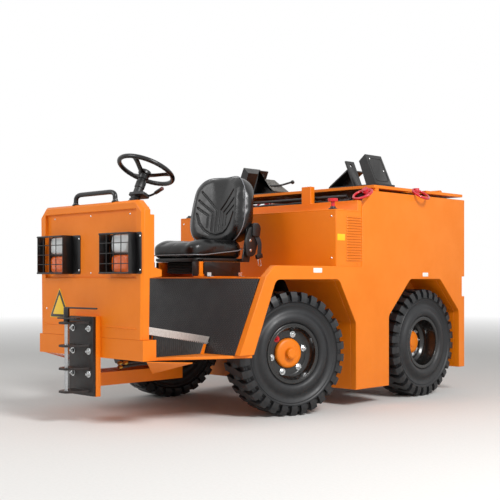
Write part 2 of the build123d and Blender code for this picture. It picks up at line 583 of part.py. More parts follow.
# Dashboard: a shallow box behind the cowl with a deeper foot, and a console under the column
DASH_DEPTH = 36.0
DASH_TOP = 1324.0
DASH_FOOT_DEPTH = 92.0
DASH_FOOT_TOP = 990.0
DASH_BEVEL = 14.0
CONSOLE_HALF_WIDTH = 150.0
CONSOLE_DEPTH = 400.0
CONSOLE_TOP = 1416.0
CONSOLE_BOTTOM = 1250.0
CONSOLE_NOSE_Z = 1370.0
dash_front = cowl_rear_y + SEAT_GAP
dash_bottom = FLOOR_FRONT_TOP + SEAT_GAP
with BuildPart() as dashboard:
    with BuildSketch(Plane.YZ.offset(-FLOOR_HALF_WIDTH)):
        with BuildLine():
            Polyline(
                (dash_front, dash_bottom), (dash_front, DASH_TOP), (dash_front + DASH_DEPTH, DASH_TOP),
                (dash_front + DASH_DEPTH, DASH_FOOT_TOP), (dash_front + DASH_FOOT_DEPTH, DASH_FOOT_TOP - DASH_BEVEL),
                (dash_front + DASH_FOOT_DEPTH, dash_bottom), close=True,
            )
        make_face()
    extrude(amount=2 * FLOOR_HALF_WIDTH)
    with BuildSketch(Plane.YZ.offset(-CONSOLE_HALF_WIDTH)):
        with BuildLine():
            Polyline(
                (dash_front, CONSOLE_BOTTOM - DASH_FOOT_DEPTH), (dash_front, CONSOLE_TOP),
                (dash_front + CONSOLE_DEPTH, CONSOLE_TOP), (dash_front + CONSOLE_DEPTH, CONSOLE_NOSE_Z),
                (dash_front + DASH_FOOT_DEPTH, CONSOLE_BOTTOM - DASH_FOOT_DEPTH), close=True,
            )
        make_face()
    extrude(amount=2 * CONSOLE_HALF_WIDTH)
pieces["dashboard"] = dashboard.part

# Lamp guards: frames with bars in front of each headlamp, and the lamps
GUARD_CENTRE = 325.0
GUARD_WIDTH = 340.0
GUARD_BOTTOM = 946.0
GUARD_TOP = 1199.0
GUARD_DEPTH = 62.0
GUARD_FRAME = 16.0
GUARD_BAR = 6.0
GUARD_BARS_UP = 5
GUARD_BARS_ACROSS = 4
recess_face = COWL_Y + RECESS_DEPTH - SEAT_GAP
guard_height = GUARD_TOP - GUARD_BOTTOM
guard_middle = (GUARD_CENTRE, (GUARD_TOP + GUARD_BOTTOM) / 2)

with BuildPart() as guards:
    with BuildSketch(Plane.XZ.offset(SEAT_GAP - COWL_Y)):
        with Locations(guard_middle):
            Rectangle(GUARD_WIDTH, guard_height)
            Rectangle(GUARD_WIDTH - 2 * GUARD_FRAME, guard_height - 2 * GUARD_FRAME, mode=Mode.SUBTRACT)
    extrude(amount=GUARD_DEPTH)
    with BuildSketch(Plane.XZ.offset(SEAT_GAP - COWL_Y + GUARD_DEPTH - GUARD_BAR)):
        with Locations(guard_middle):
            with GridLocations((GUARD_WIDTH - GUARD_FRAME) / (GUARD_BARS_UP + 1), 0, GUARD_BARS_UP, 1):
                Rectangle(GUARD_BAR, guard_height)
            with GridLocations(0, (guard_height - GUARD_FRAME) / (GUARD_BARS_ACROSS + 1), 1, GUARD_BARS_ACROSS):
                Rectangle(GUARD_WIDTH, GUARD_BAR)
    extrude(amount=GUARD_BAR)
    mirror(about=Plane.YZ)
pieces["lamp_guards"] = guards.part

LAMP_WIDTH = 150.0
LAMP_DEPTH = 50.0
LAMP_TAPER = 8.0
LAMP_CORNER = 24.0
# Columns: middle height, height of the lamp
LAMPS = {"headlamps": (1126.0, 106.0), "indicators": (1016.0, 104.0)}
for name, (z, height) in LAMPS.items():
    with BuildPart() as lamps:
        with BuildSketch(Plane.XZ.offset(-recess_face)):
            with Locations((GUARD_CENTRE, z), (-GUARD_CENTRE, z)):
                RectangleRounded(LAMP_WIDTH, height, LAMP_CORNER)
        extrude(amount=LAMP_DEPTH, taper=LAMP_TAPER)
    pieces[name] = lamps.part

# Grab handle on the cowl top
HANDLE_TUBE_RADIUS = 13.0
HANDLE_LEFT = 268.0
HANDLE_RIGHT = -180.0
HANDLE_RISE = 78.0
HANDLE_SETBACK = 52.0
HANDLE_BEND = 40.0
handle_y = COWL_Y + HANDLE_SETBACK
handle_foot = COWL_TOP + SEAT_GAP
with BuildPart() as handle:
    with BuildLine():
        FilletPolyline(
            (HANDLE_RIGHT, handle_y, handle_foot), (HANDLE_RIGHT, handle_y, COWL_TOP + HANDLE_RISE),
            (HANDLE_LEFT, handle_y, COWL_TOP + HANDLE_RISE), (HANDLE_LEFT, handle_y, handle_foot),
            radius=HANDLE_BEND,
        )
    with BuildSketch(Plane.XY.offset(handle_foot)):
        with Locations((HANDLE_RIGHT, handle_y)):
            Circle(HANDLE_TUBE_RADIUS)
    sweep()
pieces["grab_handle"] = handle.part


# Multi-level tow couplings, front and rear
def build_jaw_block(face_y, sign):
    """A jaw block on the face at face_y: back plate and the tongues with their pin holes."""
    root_y = face_y + sign * JAW_BACK_THICKNESS
    tip_y = root_y + sign * JAW_REACH
    pin_y = tip_y - sign * PIN_SETBACK
    with BuildPart() as block:
        with BuildSketch(Plane.XZ.offset(-face_y)):
            with Locations((0, (JAW_BLOCK_TOP + JAW_BLOCK_BOTTOM) / 2)):
                Rectangle(2 * JAW_BLOCK_HALF_WIDTH, JAW_BLOCK_TOP - JAW_BLOCK_BOTTOM)
        extrude(amount=-sign * JAW_BACK_THICKNESS)
        for level in range(JAW_COUNT):
            with BuildSketch(Plane.XY.offset(JAW_BOTTOM + level * JAW_PITCH)):
                with BuildLine():
                    Polyline(
                        (-JAW_ROOT_HALF_WIDTH, root_y), (JAW_ROOT_HALF_WIDTH, root_y),
                        (JAW_HALF_WIDTH, pin_y), (JAW_TIP_HALF_WIDTH, tip_y), (-JAW_TIP_HALF_WIDTH, tip_y),
                        (-JAW_HALF_WIDTH, pin_y), close=True,
                    )
                make_face()
                with Locations((0, pin_y)):
                    Circle(PIN_HOLE_RADIUS, mode=Mode.SUBTRACT)
            extrude(amount=JAW_THICKNESS)
    return block.part


def build_pin(face_y, sign):
    """The coupling pin with wider lands in the jaws, and its head above the top jaw."""
    pin_y = face_y + sign * (JAW_BACK_THICKNESS + JAW_REACH - PIN_SETBACK)
    top = JAW_BOTTOM + (JAW_COUNT - 1) * JAW_PITCH + JAW_THICKNESS + SEAT_GAP
    with BuildPart() as pin:
        with BuildSketch(Plane.XY.offset(JAW_BOTTOM - PIN_TAIL)):
            with Locations((0, pin_y)):
                Circle(PIN_RADIUS)
        extrude(amount=top - JAW_BOTTOM + PIN_TAIL)
        for level in range(JAW_COUNT):
            with BuildSketch(Plane.XY.offset(JAW_BOTTOM + level * JAW_PITCH - PIN_LAND_MARGIN)):
                with Locations((0, pin_y)):
                    Circle(PIN_LAND_RADIUS)
            extrude(amount=JAW_THICKNESS + PIN_LAND_MARGIN)
        with BuildSketch(Plane.XY.offset(top)):
            with Locations((0, pin_y)):
                Circle(PIN_HEAD_RADIUS)
        extrude(amount=PIN_HEAD_HEIGHT)
    return pin.part


front_face = COWL_Y - TOW_PLATE_THICKNESS - SEAT_GAP
rear_face = REAR_Y + SEAT_GAP
for end, face_y, sign in (("front", front_face, -1), ("rear", rear_face, 1)):
    pieces[end + "_coupling"] = build_jaw_block(face_y, sign)
    pieces[end + "_coupling_pin"] = build_pin(face_y, sign)

# Steering column with its flared collar and stalk, and the steering wheel
WHEEL_CENTRE_Z = 1650.0
WHEEL_CENTRE_D = -704.0
WHEEL_TILT = 25.0
WHEEL_RADIUS = 190.0
WHEEL_GRIP_RADIUS = 14.0
HUB_DROP = 70.0
HUB_RADIUS = 38.0
HUB_HEIGHT = 46.0
SPOKE_WIDTH = 34.0
SPOKE_THICKNESS = 10.0
SPOKE_TURNS = (28.0, 165.0, 292.0)
COLUMN_RADIUS = 30.0
COLLAR_RADIUS = 52.0
COLLAR_HEIGHT = 60.0
STALK_RADIUS = 7.0
STALK_GRIP_RADIUS = 12.0
STALK_DROP = 140.0
STALK_REACH = 230.0
STALK_GRIP_LENGTH = 90.0
STALK_RISE_ANGLE = 12.0
column_plane = Plane(
    origin=(0, behind(WHEEL_CENTRE_D), WHEEL_CENTRE_Z),
    x_dir=(1, 0, 0),
    z_dir=(0, sin(radians(WHEEL_TILT)), cos(radians(WHEEL_TILT))),
)
# The column stops where its lower edge meets the console's top
column_length = (WHEEL_CENTRE_Z - CONSOLE_TOP - SEAT_GAP - COLLAR_RADIUS * sin(radians(WHEEL_TILT))) / cos(
    radians(WHEEL_TILT))
with BuildPart() as column:
    with BuildSketch(column_plane.offset(-HUB_DROP)):
        Circle(COLUMN_RADIUS)
    extrude(amount=HUB_DROP - column_length)
    with BuildSketch(column_plane.offset(-column_length)):
        Circle(COLLAR_RADIUS)
    extrude(amount=COLLAR_HEIGHT, taper=degrees(atan2(COLLAR_RADIUS - COLUMN_RADIUS, COLLAR_HEIGHT)))
    stalk_direction = Vector(cos(radians(STALK_RISE_ANGLE)), 0, sin(radians(STALK_RISE_ANGLE)))
    stalk_root = column_plane.origin - column_plane.z_dir * STALK_DROP
    for start, radius, length in ((0.0, STALK_RADIUS, STALK_REACH),
                                  (STALK_REACH - STALK_GRIP_LENGTH, STALK_GRIP_RADIUS, STALK_GRIP_LENGTH)):
        with BuildSketch(Plane(origin=stalk_root + stalk_direction * start, z_dir=stalk_direction)):
            Circle(radius)
        extrude(amount=length)
pieces["steering_column"] = column.part

with BuildPart() as steering_wheel:
    with BuildSketch(Plane(origin=column_plane.origin, x_dir=column_plane.x_dir, z_dir=-column_plane.y_dir)):
        with Locations((WHEEL_RADIUS, 0)):
            Circle(WHEEL_GRIP_RADIUS)
    revolve(axis=Axis(column_plane.origin, column_plane.z_dir))
    with BuildSketch(column_plane.offset(SEAT_GAP - HUB_DROP)):
        Circle(HUB_RADIUS)
    extrude(amount=HUB_HEIGHT)
    # Each spoke rises from the hub to the rim
    spoke_start = HUB_RADIUS / 2
    spoke_drop = HUB_DROP - HUB_HEIGHT + SPOKE_THICKNESS
    spoke_length = hypot(WHEEL_RADIUS - spoke_start, spoke_drop)
    spoke_rise = degrees(atan2(spoke_drop, WHEEL_RADIUS - spoke_start))
    for turn in SPOKE_TURNS:
        hub_place = column_plane.offset(-spoke_drop).location * Location((0, 0, 0), (0, 0, turn))
        spoke_place = hub_place * Location((spoke_start, 0, 0), (0, -spoke_rise, 0))
        with BuildSketch(Plane(spoke_place)):
            with Locations((spoke_length / 2, 0)):
                Rectangle(spoke_length, SPOKE_WIDTH)
        extrude(amount=SPOKE_THICKNESS / 2, both=True)
pieces["steering_wheel"] = steering_wheel.part

# Hood ahead of the rear body: front panel, side panels with louvres, top with its coaming
HOOD_INSET = 6.0
COAMING_FRONT = 566.0
LOUVRE_COUNT = 17
LOUVRE_PITCH = 19.0
LOUVRE_LENGTH = 150.0
LOUVRE_HEIGHT = 8.0
LOUVRE_TOP = 1350.0
LOUVRE_REAR_MARGIN = 26.0
POST_INNER = 280.0
POST_WIDTH = 90.0
POST_DEPTH = 46.0
POST_TOP = 1600.0
hood_bottom = FENDER_TOP + SEAT_GAP
hood_mid_z = (hood_bottom + HOOD_TOP) / 2
hood_half_width = BODY_HALF_WIDTH - HOOD_INSET

with BuildPart() as hood_front:
    with BuildSketch(Plane.XZ.offset(-behind(HOOD_FRONT + PANEL))):
        with Locations((0, (DECK_TOP + SEAT_GAP + HOOD_TOP) / 2)):
            Rectangle(2 * (BODY_INNER - SEAT_GAP), HOOD_TOP - DECK_TOP - SEAT_GAP)
        with Locations((0, hood_mid_z)):
            Rectangle(2 * hood_half_width, HOOD_TOP - hood_bottom)
    extrude(amount=PANEL)
pieces["hood_front_panel"] = hood_front.part

with BuildPart() as louvre_panels:
    with BuildSketch(Plane.YZ.offset(hood_half_width - PANEL)):
        with Locations(((behind(HOOD_FRONT + PANEL) + behind(HOOD_REAR)) / 2, hood_mid_z)):
            Rectangle(HOOD_REAR - HOOD_FRONT - PANEL - 2 * SEAT_GAP, HOOD_TOP - hood_bottom)
    extrude(amount=PANEL)
    with BuildSketch(Plane.YZ.offset(hood_half_width)):
        louvre_mid = LOUVRE_TOP - (LOUVRE_COUNT - 1) * LOUVRE_PITCH / 2
        with Locations((behind(HOOD_REAR - LOUVRE_REAR_MARGIN - LOUVRE_LENGTH / 2), louvre_mid)):
            with GridLocations(0, LOUVRE_PITCH, 1, LOUVRE_COUNT):
                Rectangle(LOUVRE_LENGTH, LOUVRE_HEIGHT)
    extrude(amount=-PANEL, mode=Mode.SUBTRACT)
    mirror(about=Plane.YZ)
pieces["louvre_panels"] = louvre_panels.part

with BuildPart() as hood_top:
    # Columns: start and end behind the front axle, bottom, top, inner and outer half width
    for start, end, bottom, top, inner, outer in (
        (HOOD_FRONT, HOOD_REAR, HOOD_TOP, HOOD_TOP + SHEET, 0, hood_half_width),
        (COAMING_FRONT, COAMING_FRONT + SHEET, HOOD_TOP, COAMING_TOP, 0, hood_half_width),
        (COAMING_FRONT, HOOD_REAR, COAMING_TOP - SHEET, COAMING_TOP, 0, hood_half_width),
        (COAMING_FRONT, HOOD_REAR, HOOD_TOP, COAMING_TOP, hood_half_width - SHEET, hood_half_width),
        (COAMING_FRONT, COAMING_FRONT + POST_DEPTH, COAMING_TOP, POST_TOP, POST_INNER, POST_INNER + POST_WIDTH),
    ):
        for side in (1, -1):
            with BuildSketch(Plane.XY.offset(bottom)):
                with Locations((side * (inner + outer) / 2, behind((start + end) / 2))):
                    Rectangle(outer - inner, end - start)
            extrude(amount=top - bottom)
pieces["hood_top"] = hood_top.part

# Rear body: back panel with the lid's hinge ears, battery block on the rails
BACK_SHEET = 12.0
BATTERY_SIDE_ROOM = 30.0
BATTERY_FRONT_ROOM = 88.0
BATTERY_REAR_ROOM = 180.0
BATTERY_FRONT = HOOD_REAR + BATTERY_FRONT_ROOM
BATTERY_REAR = REAR_REST - BATTERY_REAR_ROOM
BATTERY_TOP = 1420.0
LID_REAR_GAP = 30.0
HINGE_X = 560.0
HINGE_RADIUS = 20.0
HINGE_PIN_RADIUS = 8.0
HINGE_RISE = 30.0
HINGE_SETBACK = 16.0
HINGE_BARREL_HALF = 30.0
HINGE_EAR = 12.0
HINGE_EAR_GAP = 1.0
HINGE_STRAP_LENGTH = 130.0
hinge_y = REAR_Y - HINGE_SETBACK
hinge_z = LID_TOP + HINGE_RISE
hinge_plane = Plane.YZ.offset(HINGE_X)
ear_inner = HINGE_BARREL_HALF + HINGE_EAR_GAP

with BuildPart() as back_panel:
    with BuildSketch(Plane.XZ.offset(-REAR_Y)):
        with Locations((0, (RAIL_BOTTOM + BODY_TOP) / 2)):
            Rectangle(2 * (BODY_INNER - SEAT_GAP), BODY_TOP - RAIL_BOTTOM)
        with Locations((0, (RAIL_BOTTOM + RAIL_TOP) / 2)):
            Rectangle(frame_width + 2 * SEAT_GAP, RAIL_TOP - RAIL_BOTTOM + 2 * SEAT_GAP, mode=Mode.SUBTRACT)
    extrude(amount=BACK_SHEET)
    for start in (ear_inner, -ear_inner - HINGE_EAR):
        for mirrored in (1, -1):
            ear_x = mirrored * HINGE_X + start
            with BuildSketch(Plane.YZ.offset(ear_x)):
                with Locations((hinge_y, hinge_z)):
                    Circle(HINGE_RADIUS)
                with BuildLine():
                    Polyline(
                        (REAR_Y - BACK_SHEET, BODY_TOP), (REAR_Y, BODY_TOP), (hinge_y + HINGE_RADIUS, hinge_z),
                        (hinge_y, hinge_z), close=True,
                    )
                make_face()
                with Locations((hinge_y, hinge_z)):
                    Circle(HINGE_PIN_RADIUS + RUNNING_GAP, mode=Mode.SUBTRACT)
            extrude(amount=HINGE_EAR)
pieces["back_panel"] = back_panel.part

with BuildPart() as battery:
    with BuildSketch(Plane.XY.offset(RAIL_TOP + SEAT_GAP)):
        with Locations((0, behind((BATTERY_FRONT + BATTERY_REAR) / 2))):
            Rectangle(2 * (REAR_BAY_INNER - BATTERY_SIDE_ROOM), BATTERY_REAR - BATTERY_FRONT)
    extrude(amount=BATTERY_TOP - RAIL_TOP - SEAT_GAP)
pieces["battery_block"] = battery.part

TAIL_LAMP_X = 640.0
TAIL_LAMP_Z = 1330.0
TAIL_LAMP_WIDTH = 90.0
TAIL_LAMP_HEIGHT = 180.0
TAIL_LAMP_DEPTH = 40.0
TAIL_LAMP_CORNER = 14.0
with BuildPart() as tail_lamps:
    with BuildSketch(Plane.XZ.offset(-REAR_Y - SEAT_GAP)):
        with Locations((TAIL_LAMP_X, TAIL_LAMP_Z), (-TAIL_LAMP_X, TAIL_LAMP_Z)):
            RectangleRounded(TAIL_LAMP_WIDTH, TAIL_LAMP_HEIGHT, TAIL_LAMP_CORNER)
    extrude(amount=-TAIL_LAMP_DEPTH)
pieces["tail_lamps"] = tail_lamps.part

# Lifting points: places of the rings along the body sides
WALL_MIDDLE = BODY_HALF_WIDTH - SIDE_WALL / 2
SIDE_RING = 1318.0
RING_RADIUS = 70.0
RING_WIRE = 9.0
RING_OFFSET = 45.0
SIDE_RING_TILT = 33.0
FRONT_RING_TILT = -12.0
FRONT_RING_UP_SLOPE = 0.75
RING_POST_RADIUS = 22.0
RING_KNOB_RADIUS = 27.0
RING_POST_HEIGHT = 56.0
RING_KNOB_HEIGHT = 14.0
PIVOT_RADIUS = 8.0
NOTCH_HALF_LENGTH = 96.0
NOTCH_DEPTH = 90.0

# Lid: a folded sheet tray upside down, notched round the side rings, with hinge straps and a pressed
# field behind the cradles, which stiffens it and carries goods
LID_SHEET = 6.0
LID_RIM = 8.0
PAD_SIZE = 40.0
FIELD_RISE = 5.0
FIELD_FRONT = 1130.0
FIELD_REAR = 1770.0
FIELD_HALF_WIDTH = 650.0
FIELD_CORNER = 40.0
lid_front = behind(LID_FRONT)
lid_rear = REAR_Y - LID_REAR_GAP
lid_middle = (lid_front + lid_rear) / 2
lid_length = lid_rear - lid_front
with BuildPart() as lid:
    with BuildSketch(Plane.XY.offset(LID_BOTTOM)):
        with Locations((0, lid_middle)):
            Rectangle(2 * BODY_HALF_WIDTH, lid_length)
    extrude(amount=LID_HEIGHT)
    with BuildSketch(Plane.XY.offset(LID_BOTTOM)):
        with Locations((0, lid_middle)):
            Rectangle(2 * (BODY_INNER - NOTCH_DEPTH), lid_length - 2 * LID_RIM)
    extrude(amount=LID_HEIGHT - LID_SHEET, mode=Mode.SUBTRACT)
    for bottom, inset, mode in ((LID_TOP, 0, Mode.ADD), (LID_TOP - LID_SHEET, LID_SHEET, Mode.SUBTRACT)):
        with BuildSketch(Plane.XY.offset(bottom)):
            with Locations((0, behind((FIELD_FRONT + FIELD_REAR) / 2))):
                RectangleRounded(2 * (FIELD_HALF_WIDTH - inset), FIELD_REAR - FIELD_FRONT - 2 * inset, FIELD_CORNER)
        extrude(amount=FIELD_RISE, mode=mode)
    with BuildSketch(Plane.XY.offset(LID_BOTTOM)):
        with Locations((BODY_HALF_WIDTH, behind(SIDE_RING)), (-BODY_HALF_WIDTH, behind(SIDE_RING))):
            Rectangle(2 * NOTCH_DEPTH, 2 * NOTCH_HALF_LENGTH)
    extrude(amount=LID_HEIGHT, mode=Mode.SUBTRACT)
    # Rest pads under the front corners
    with BuildSketch(Plane.XY.offset(BODY_TOP + SEAT_GAP)):
        with Locations((WALL_MIDDLE, lid_front + PAD_SIZE), (-WALL_MIDDLE, lid_front + PAD_SIZE)):
            Rectangle(PAD_SIZE, PAD_SIZE)
    extrude(amount=LID_BOTTOM - BODY_TOP - SEAT_GAP)
    for side in (1, -1):
        with BuildSketch(Plane.YZ.offset(side * HINGE_X - HINGE_BARREL_HALF)):
            with Locations((hinge_y, hinge_z)):
                Circle(HINGE_RADIUS)
            with BuildLine():
                Polyline(
                    (lid_rear - HINGE_STRAP_LENGTH, LID_TOP), (lid_rear - HINGE_STRAP_LENGTH / 2, LID_TOP + SHEET),
                    (hinge_y, hinge_z + HINGE_RADIUS), (hinge_y, hinge_z - HINGE_RADIUS), (lid_rear, LID_TOP),
                    close=True,
                )
            make_face()
        extrude(amount=2 * HINGE_BARREL_HALF)
        with BuildSketch(Plane.YZ.offset(side * HINGE_X - ear_inner - HINGE_EAR)):
            with Locations((hinge_y, hinge_z)):
                Circle(HINGE_PIN_RADIUS)
        extrude(amount=2 * (ear_inner + HINGE_EAR))
pieces["lid"] = lid.part

# Each lifting point: a post on the body side, a knob and a ring that hangs out of it.
# The side ring hangs over the body side, and the front one down the slope of its front edge.
slope_angle = degrees(atan2(BODY_TOP - SLOPE_FOOT_Z, SLOPE_TOP - HOOD_REAR))
ring_d = HOOD_REAR + FRONT_RING_UP_SLOPE * (SLOPE_TOP - HOOD_REAR)
ring_z = SLOPE_FOOT_Z + FRONT_RING_UP_SLOPE * (BODY_TOP - SLOPE_FOOT_Z)
side_place = Location((WALL_MIDDLE, behind(SIDE_RING), BODY_TOP))
front_place = Location((WALL_MIDDLE, behind(ring_d), ring_z), (slope_angle, 0, 0)) * Location(
    (0, 0, 0), (0, 0, -90))
with BuildPart() as rings:
    for place, tilt in ((side_place, SIDE_RING_TILT), (front_place, FRONT_RING_TILT)):
        base = Plane(place * Location((0, 0, SEAT_GAP)))
        with BuildSketch(base):
            Circle(RING_POST_RADIUS)
        extrude(amount=RING_POST_HEIGHT)
        with BuildSketch(base.offset(RING_POST_HEIGHT / 2)):
            Circle(RING_KNOB_RADIUS)
        extrude(amount=RING_KNOB_HEIGHT)
        # The ring's own plane: X towards its hanging side, Y along its pivots
        hang = Plane(place * Location((0, 0, (RING_POST_HEIGHT + RING_KNOB_HEIGHT) / 2), (0, tilt, 0)))
        pivots = Plane(origin=hang.origin, x_dir=hang.z_dir, z_dir=hang.y_dir)
        half_chord = (RING_RADIUS ** 2 - RING_OFFSET ** 2) ** 0.5
        with BuildSketch(pivots.offset(-half_chord)):
            Circle(PIVOT_RADIUS)
        extrude(amount=2 * half_chord)
        centre = hang.origin + hang.x_dir * RING_OFFSET
        with BuildSketch(Plane(origin=centre, x_dir=hang.x_dir, z_dir=hang.y_dir)):
            with Locations((RING_RADIUS, 0)):
                Circle(RING_WIRE)
        revolve(axis=Axis(centre, hang.z_dir))
    mirror(about=Plane.YZ)
pieces["lifting_rings"] = rings.part

# Cradles on the lid: base, sloping pad on a web, end plate and box, all leaning inwards
CRADLE_FRONT = 872.0
CRADLE_DEPTH = 200.0
CRADLE_BASE = 22.0
END_PLATE_DEPTH = 100.0
WEB_THICKNESS = 12.0
END_HOLE_RADIUS = 14.0
END_HOLE_PLACE = (467.0, 177.0)
END_PLATE_NORMAL = (0.92, 0, 0.393)
# Columns: outline in X and height above the lid, start behind the cradle's front, depth
CRADLE_PIECES = (
    (((290, SEAT_GAP), (770, SEAT_GAP), (770, CRADLE_BASE), (290, CRADLE_BASE)), 0, CRADLE_DEPTH),
    (((290, CRADLE_BASE), (304, CRADLE_BASE), (478, 138), (470, 148)), 0, CRADLE_DEPTH),
    (((300, CRADLE_BASE), (474, 136), (530, CRADLE_BASE)), (CRADLE_DEPTH - WEB_THICKNESS) / 2, WEB_THICKNESS),
    (((526, CRADLE_BASE), (540, CRADLE_BASE), (458, 214), (446, 209)), 0, END_PLATE_DEPTH),
    (((652, CRADLE_BASE), (745, CRADLE_BASE), (640, 250), (584, 202)), 0, CRADLE_DEPTH),
)
with BuildPart() as cradles:
    for outline, start, depth in CRADLE_PIECES:
        with BuildSketch(Plane.XZ.offset(-behind(CRADLE_FRONT + start + depth))):
            with BuildLine():
                Polyline(*[(x, LID_TOP + z) for x, z in outline], close=True)
            make_face()
        extrude(amount=depth)
    hole_x, hole_z = END_HOLE_PLACE
    hole_origin = (hole_x, behind(CRADLE_FRONT + END_PLATE_DEPTH / 2), LID_TOP + hole_z)
    with BuildSketch(Plane(origin=hole_origin, x_dir=(0, 1, 0), z_dir=END_PLATE_NORMAL)):
        Circle(END_HOLE_RADIUS)
    extrude(amount=WEB_THICKNESS, both=True, mode=Mode.SUBTRACT)
    mirror(about=Plane.YZ)
pieces["deck_cradles"] = cradles.part

# Seat: frame with its suspension box and back brackets, cushion and back
SEAT_MIDDLE = -250.0
SEAT_HALF_WIDTH = 250.0
SEAT_LENGTH = 480.0
SEAT_PAN_HEIGHT = 24.0
SEAT_PAN_LENGTH = 400.0
CUSHION_HEIGHT = 134.0
CUSHION_CORNER = 70.0
SUSPENSION_HALF_WIDTH = 170.0
SUSPENSION_LENGTH = 220.0
SUSPENSION_HEIGHT = 84.0
BACK_HALF_WIDTH = 262.0
BACK_THICKNESS = 74.0
BACK_HEIGHT = 466.0
BACK_LEAN = 8.5
BACK_FOOT = -20.0
BACK_TOP_CORNER = 150.0
BACK_FOOT_CORNER = 50.0
BRACKET_THICKNESS = 10.0
BRACKET_HEIGHT = 96.0
seat_y = behind(SEAT_MIDDLE)
pan_z = PLINTH_TOP + SEAT_GAP
cushion_z = pan_z + SEAT_PAN_HEIGHT + SEAT_GAP
cushion_top = cushion_z + CUSHION_HEIGHT
bracket_x = BACK_HALF_WIDTH + SEAT_GAP
lean = radians(BACK_LEAN)

with BuildPart() as seat_frame:
    with BuildSketch(Plane.XY.offset(pan_z)):
        with Locations((0, seat_y)):
            RectangleRounded(2 * (SEAT_HALF_WIDTH - PLINTH_FLANGE), SEAT_PAN_LENGTH, CUSHION_CORNER / 2)
        with Locations((0, behind(BACK_FOOT))):
            Rectangle(2 * (bracket_x + BRACKET_THICKNESS), BACK_THICKNESS)
        with Locations((0, (seat_y + behind(BACK_FOOT)) / 2)):
            Rectangle(2 * SUSPENSION_HALF_WIDTH, behind(BACK_FOOT) - seat_y)
    extrude(amount=SEAT_PAN_HEIGHT)
    with BuildSketch(Plane.XY.offset(pan_z)):
        with Locations((0, seat_y)):
            Rectangle(2 * SUSPENSION_HALF_WIDTH, SUSPENSION_LENGTH)
    extrude(amount=-SUSPENSION_HEIGHT)
    for side in (1, -1):
        with BuildSketch(Plane.YZ.offset(side * (bracket_x + BRACKET_THICKNESS / 2))):
            with BuildLine():
                foot_y = behind(BACK_FOOT)
                bracket_top = cushion_top + BRACKET_HEIGHT
                shift = BRACKET_HEIGHT * sin(lean)
                Polyline(
                    (foot_y - BACK_THICKNESS / 2, pan_z), (foot_y + BACK_THICKNESS / 2, pan_z),
                    (foot_y + BACK_THICKNESS + shift, bracket_top), (foot_y + shift, bracket_top), close=True,
                )
            make_face()
        extrude(amount=BRACKET_THICKNESS / 2, both=True)
pieces["seat_frame"] = seat_frame.part

with BuildPart() as seat_cushion:
    with BuildSketch(Plane.XY.offset(cushion_z)):
        with Locations((0, seat_y)):
            RectangleRounded(2 * SEAT_HALF_WIDTH, SEAT_LENGTH, CUSHION_CORNER)
    extrude(amount=CUSHION_HEIGHT)
pieces["seat_cushion"] = seat_cushion.part

back_plane = Plane(
    origin=(0, behind(BACK_FOOT), cushion_top + SEAT_GAP + BACK_THICKNESS * sin(lean)),
    x_dir=(1, 0, 0),
    z_dir=(0, -cos(lean), sin(lean)),
)
with BuildPart() as seat_back:
    with BuildSketch(back_plane) as back_outline:
        with Locations((0, BACK_HEIGHT / 2)):
            Rectangle(2 * BACK_HALF_WIDTH, BACK_HEIGHT)
        fillet(back_outline.vertices().group_by(Axis.Y)[-1], BACK_TOP_CORNER)
        fillet(back_outline.vertices().group_by(Axis.Y)[0], BACK_FOOT_CORNER)
    extrude(amount=-BACK_THICKNESS)
pieces["seat_back"] = seat_back.part

# Mushroom stop button on the hood's ledge
BUTTON_INSET = 70.0
BUTTON_SETBACK = 45.0
BUTTON_STEM_RADIUS = 14.0
BUTTON_STEM_HEIGHT = 26.0
BUTTON_CAP_RADIUS = 36.0
BUTTON_CAP_HEIGHT = 22.0
with BuildPart() as stop_button:
    for bottom, radius, height in ((SEAT_GAP, BUTTON_STEM_RADIUS, BUTTON_STEM_HEIGHT),
                                   (BUTTON_STEM_HEIGHT, BUTTON_CAP_RADIUS, BUTTON_CAP_HEIGHT)):
        with BuildSketch(Plane.XY.offset(HOOD_TOP + SHEET + bottom)):
            with Locations((BODY_HALF_WIDTH - BUTTON_INSET, behind(HOOD_FRONT + BUTTON_SETBACK))):
                Circle(radius)
        extrude(amount=height)
pieces["stop_button"] = stop_button.part

os.makedirs("parts", exist_ok=True)
for name, solid in pieces.items():
    solid.label = name
    export_step(solid, f"parts/{name}.step")
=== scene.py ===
"""Looks of the airport baggage tug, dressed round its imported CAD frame."""

import json
import logging
from dataclasses import dataclass
from enum import Enum
from math import atan2, cos, hypot, pi, radians, sin
from typing import Sequence

import bmesh
import bpy
import numpy as np
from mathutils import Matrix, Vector


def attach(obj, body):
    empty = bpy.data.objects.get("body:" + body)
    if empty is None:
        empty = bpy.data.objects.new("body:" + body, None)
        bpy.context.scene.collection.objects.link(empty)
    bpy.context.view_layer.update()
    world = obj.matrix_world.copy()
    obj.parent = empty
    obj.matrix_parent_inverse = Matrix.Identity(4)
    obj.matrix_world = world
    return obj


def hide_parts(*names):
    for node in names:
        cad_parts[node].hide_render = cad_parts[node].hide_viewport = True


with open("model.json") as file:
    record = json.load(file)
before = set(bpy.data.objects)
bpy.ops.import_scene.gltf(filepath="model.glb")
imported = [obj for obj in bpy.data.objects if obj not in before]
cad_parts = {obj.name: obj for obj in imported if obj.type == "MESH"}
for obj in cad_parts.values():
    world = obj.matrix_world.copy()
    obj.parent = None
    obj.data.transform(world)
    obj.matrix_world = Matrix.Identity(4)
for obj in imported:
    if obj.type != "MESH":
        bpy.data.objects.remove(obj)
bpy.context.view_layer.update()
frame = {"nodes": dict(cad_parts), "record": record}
log = logging.getLogger("baggage_tug")
MM = 0.001
MERGE = 1e-6
SHARP_DEG = 32.0
# Directions on the vehicle, whose front is towards -Y and whose left side is towards +X
FRONT, REAR, LEFT, UP = (0, -1, 0), (0, 1, 0), (1, 0, 0), (0, 0, 1)
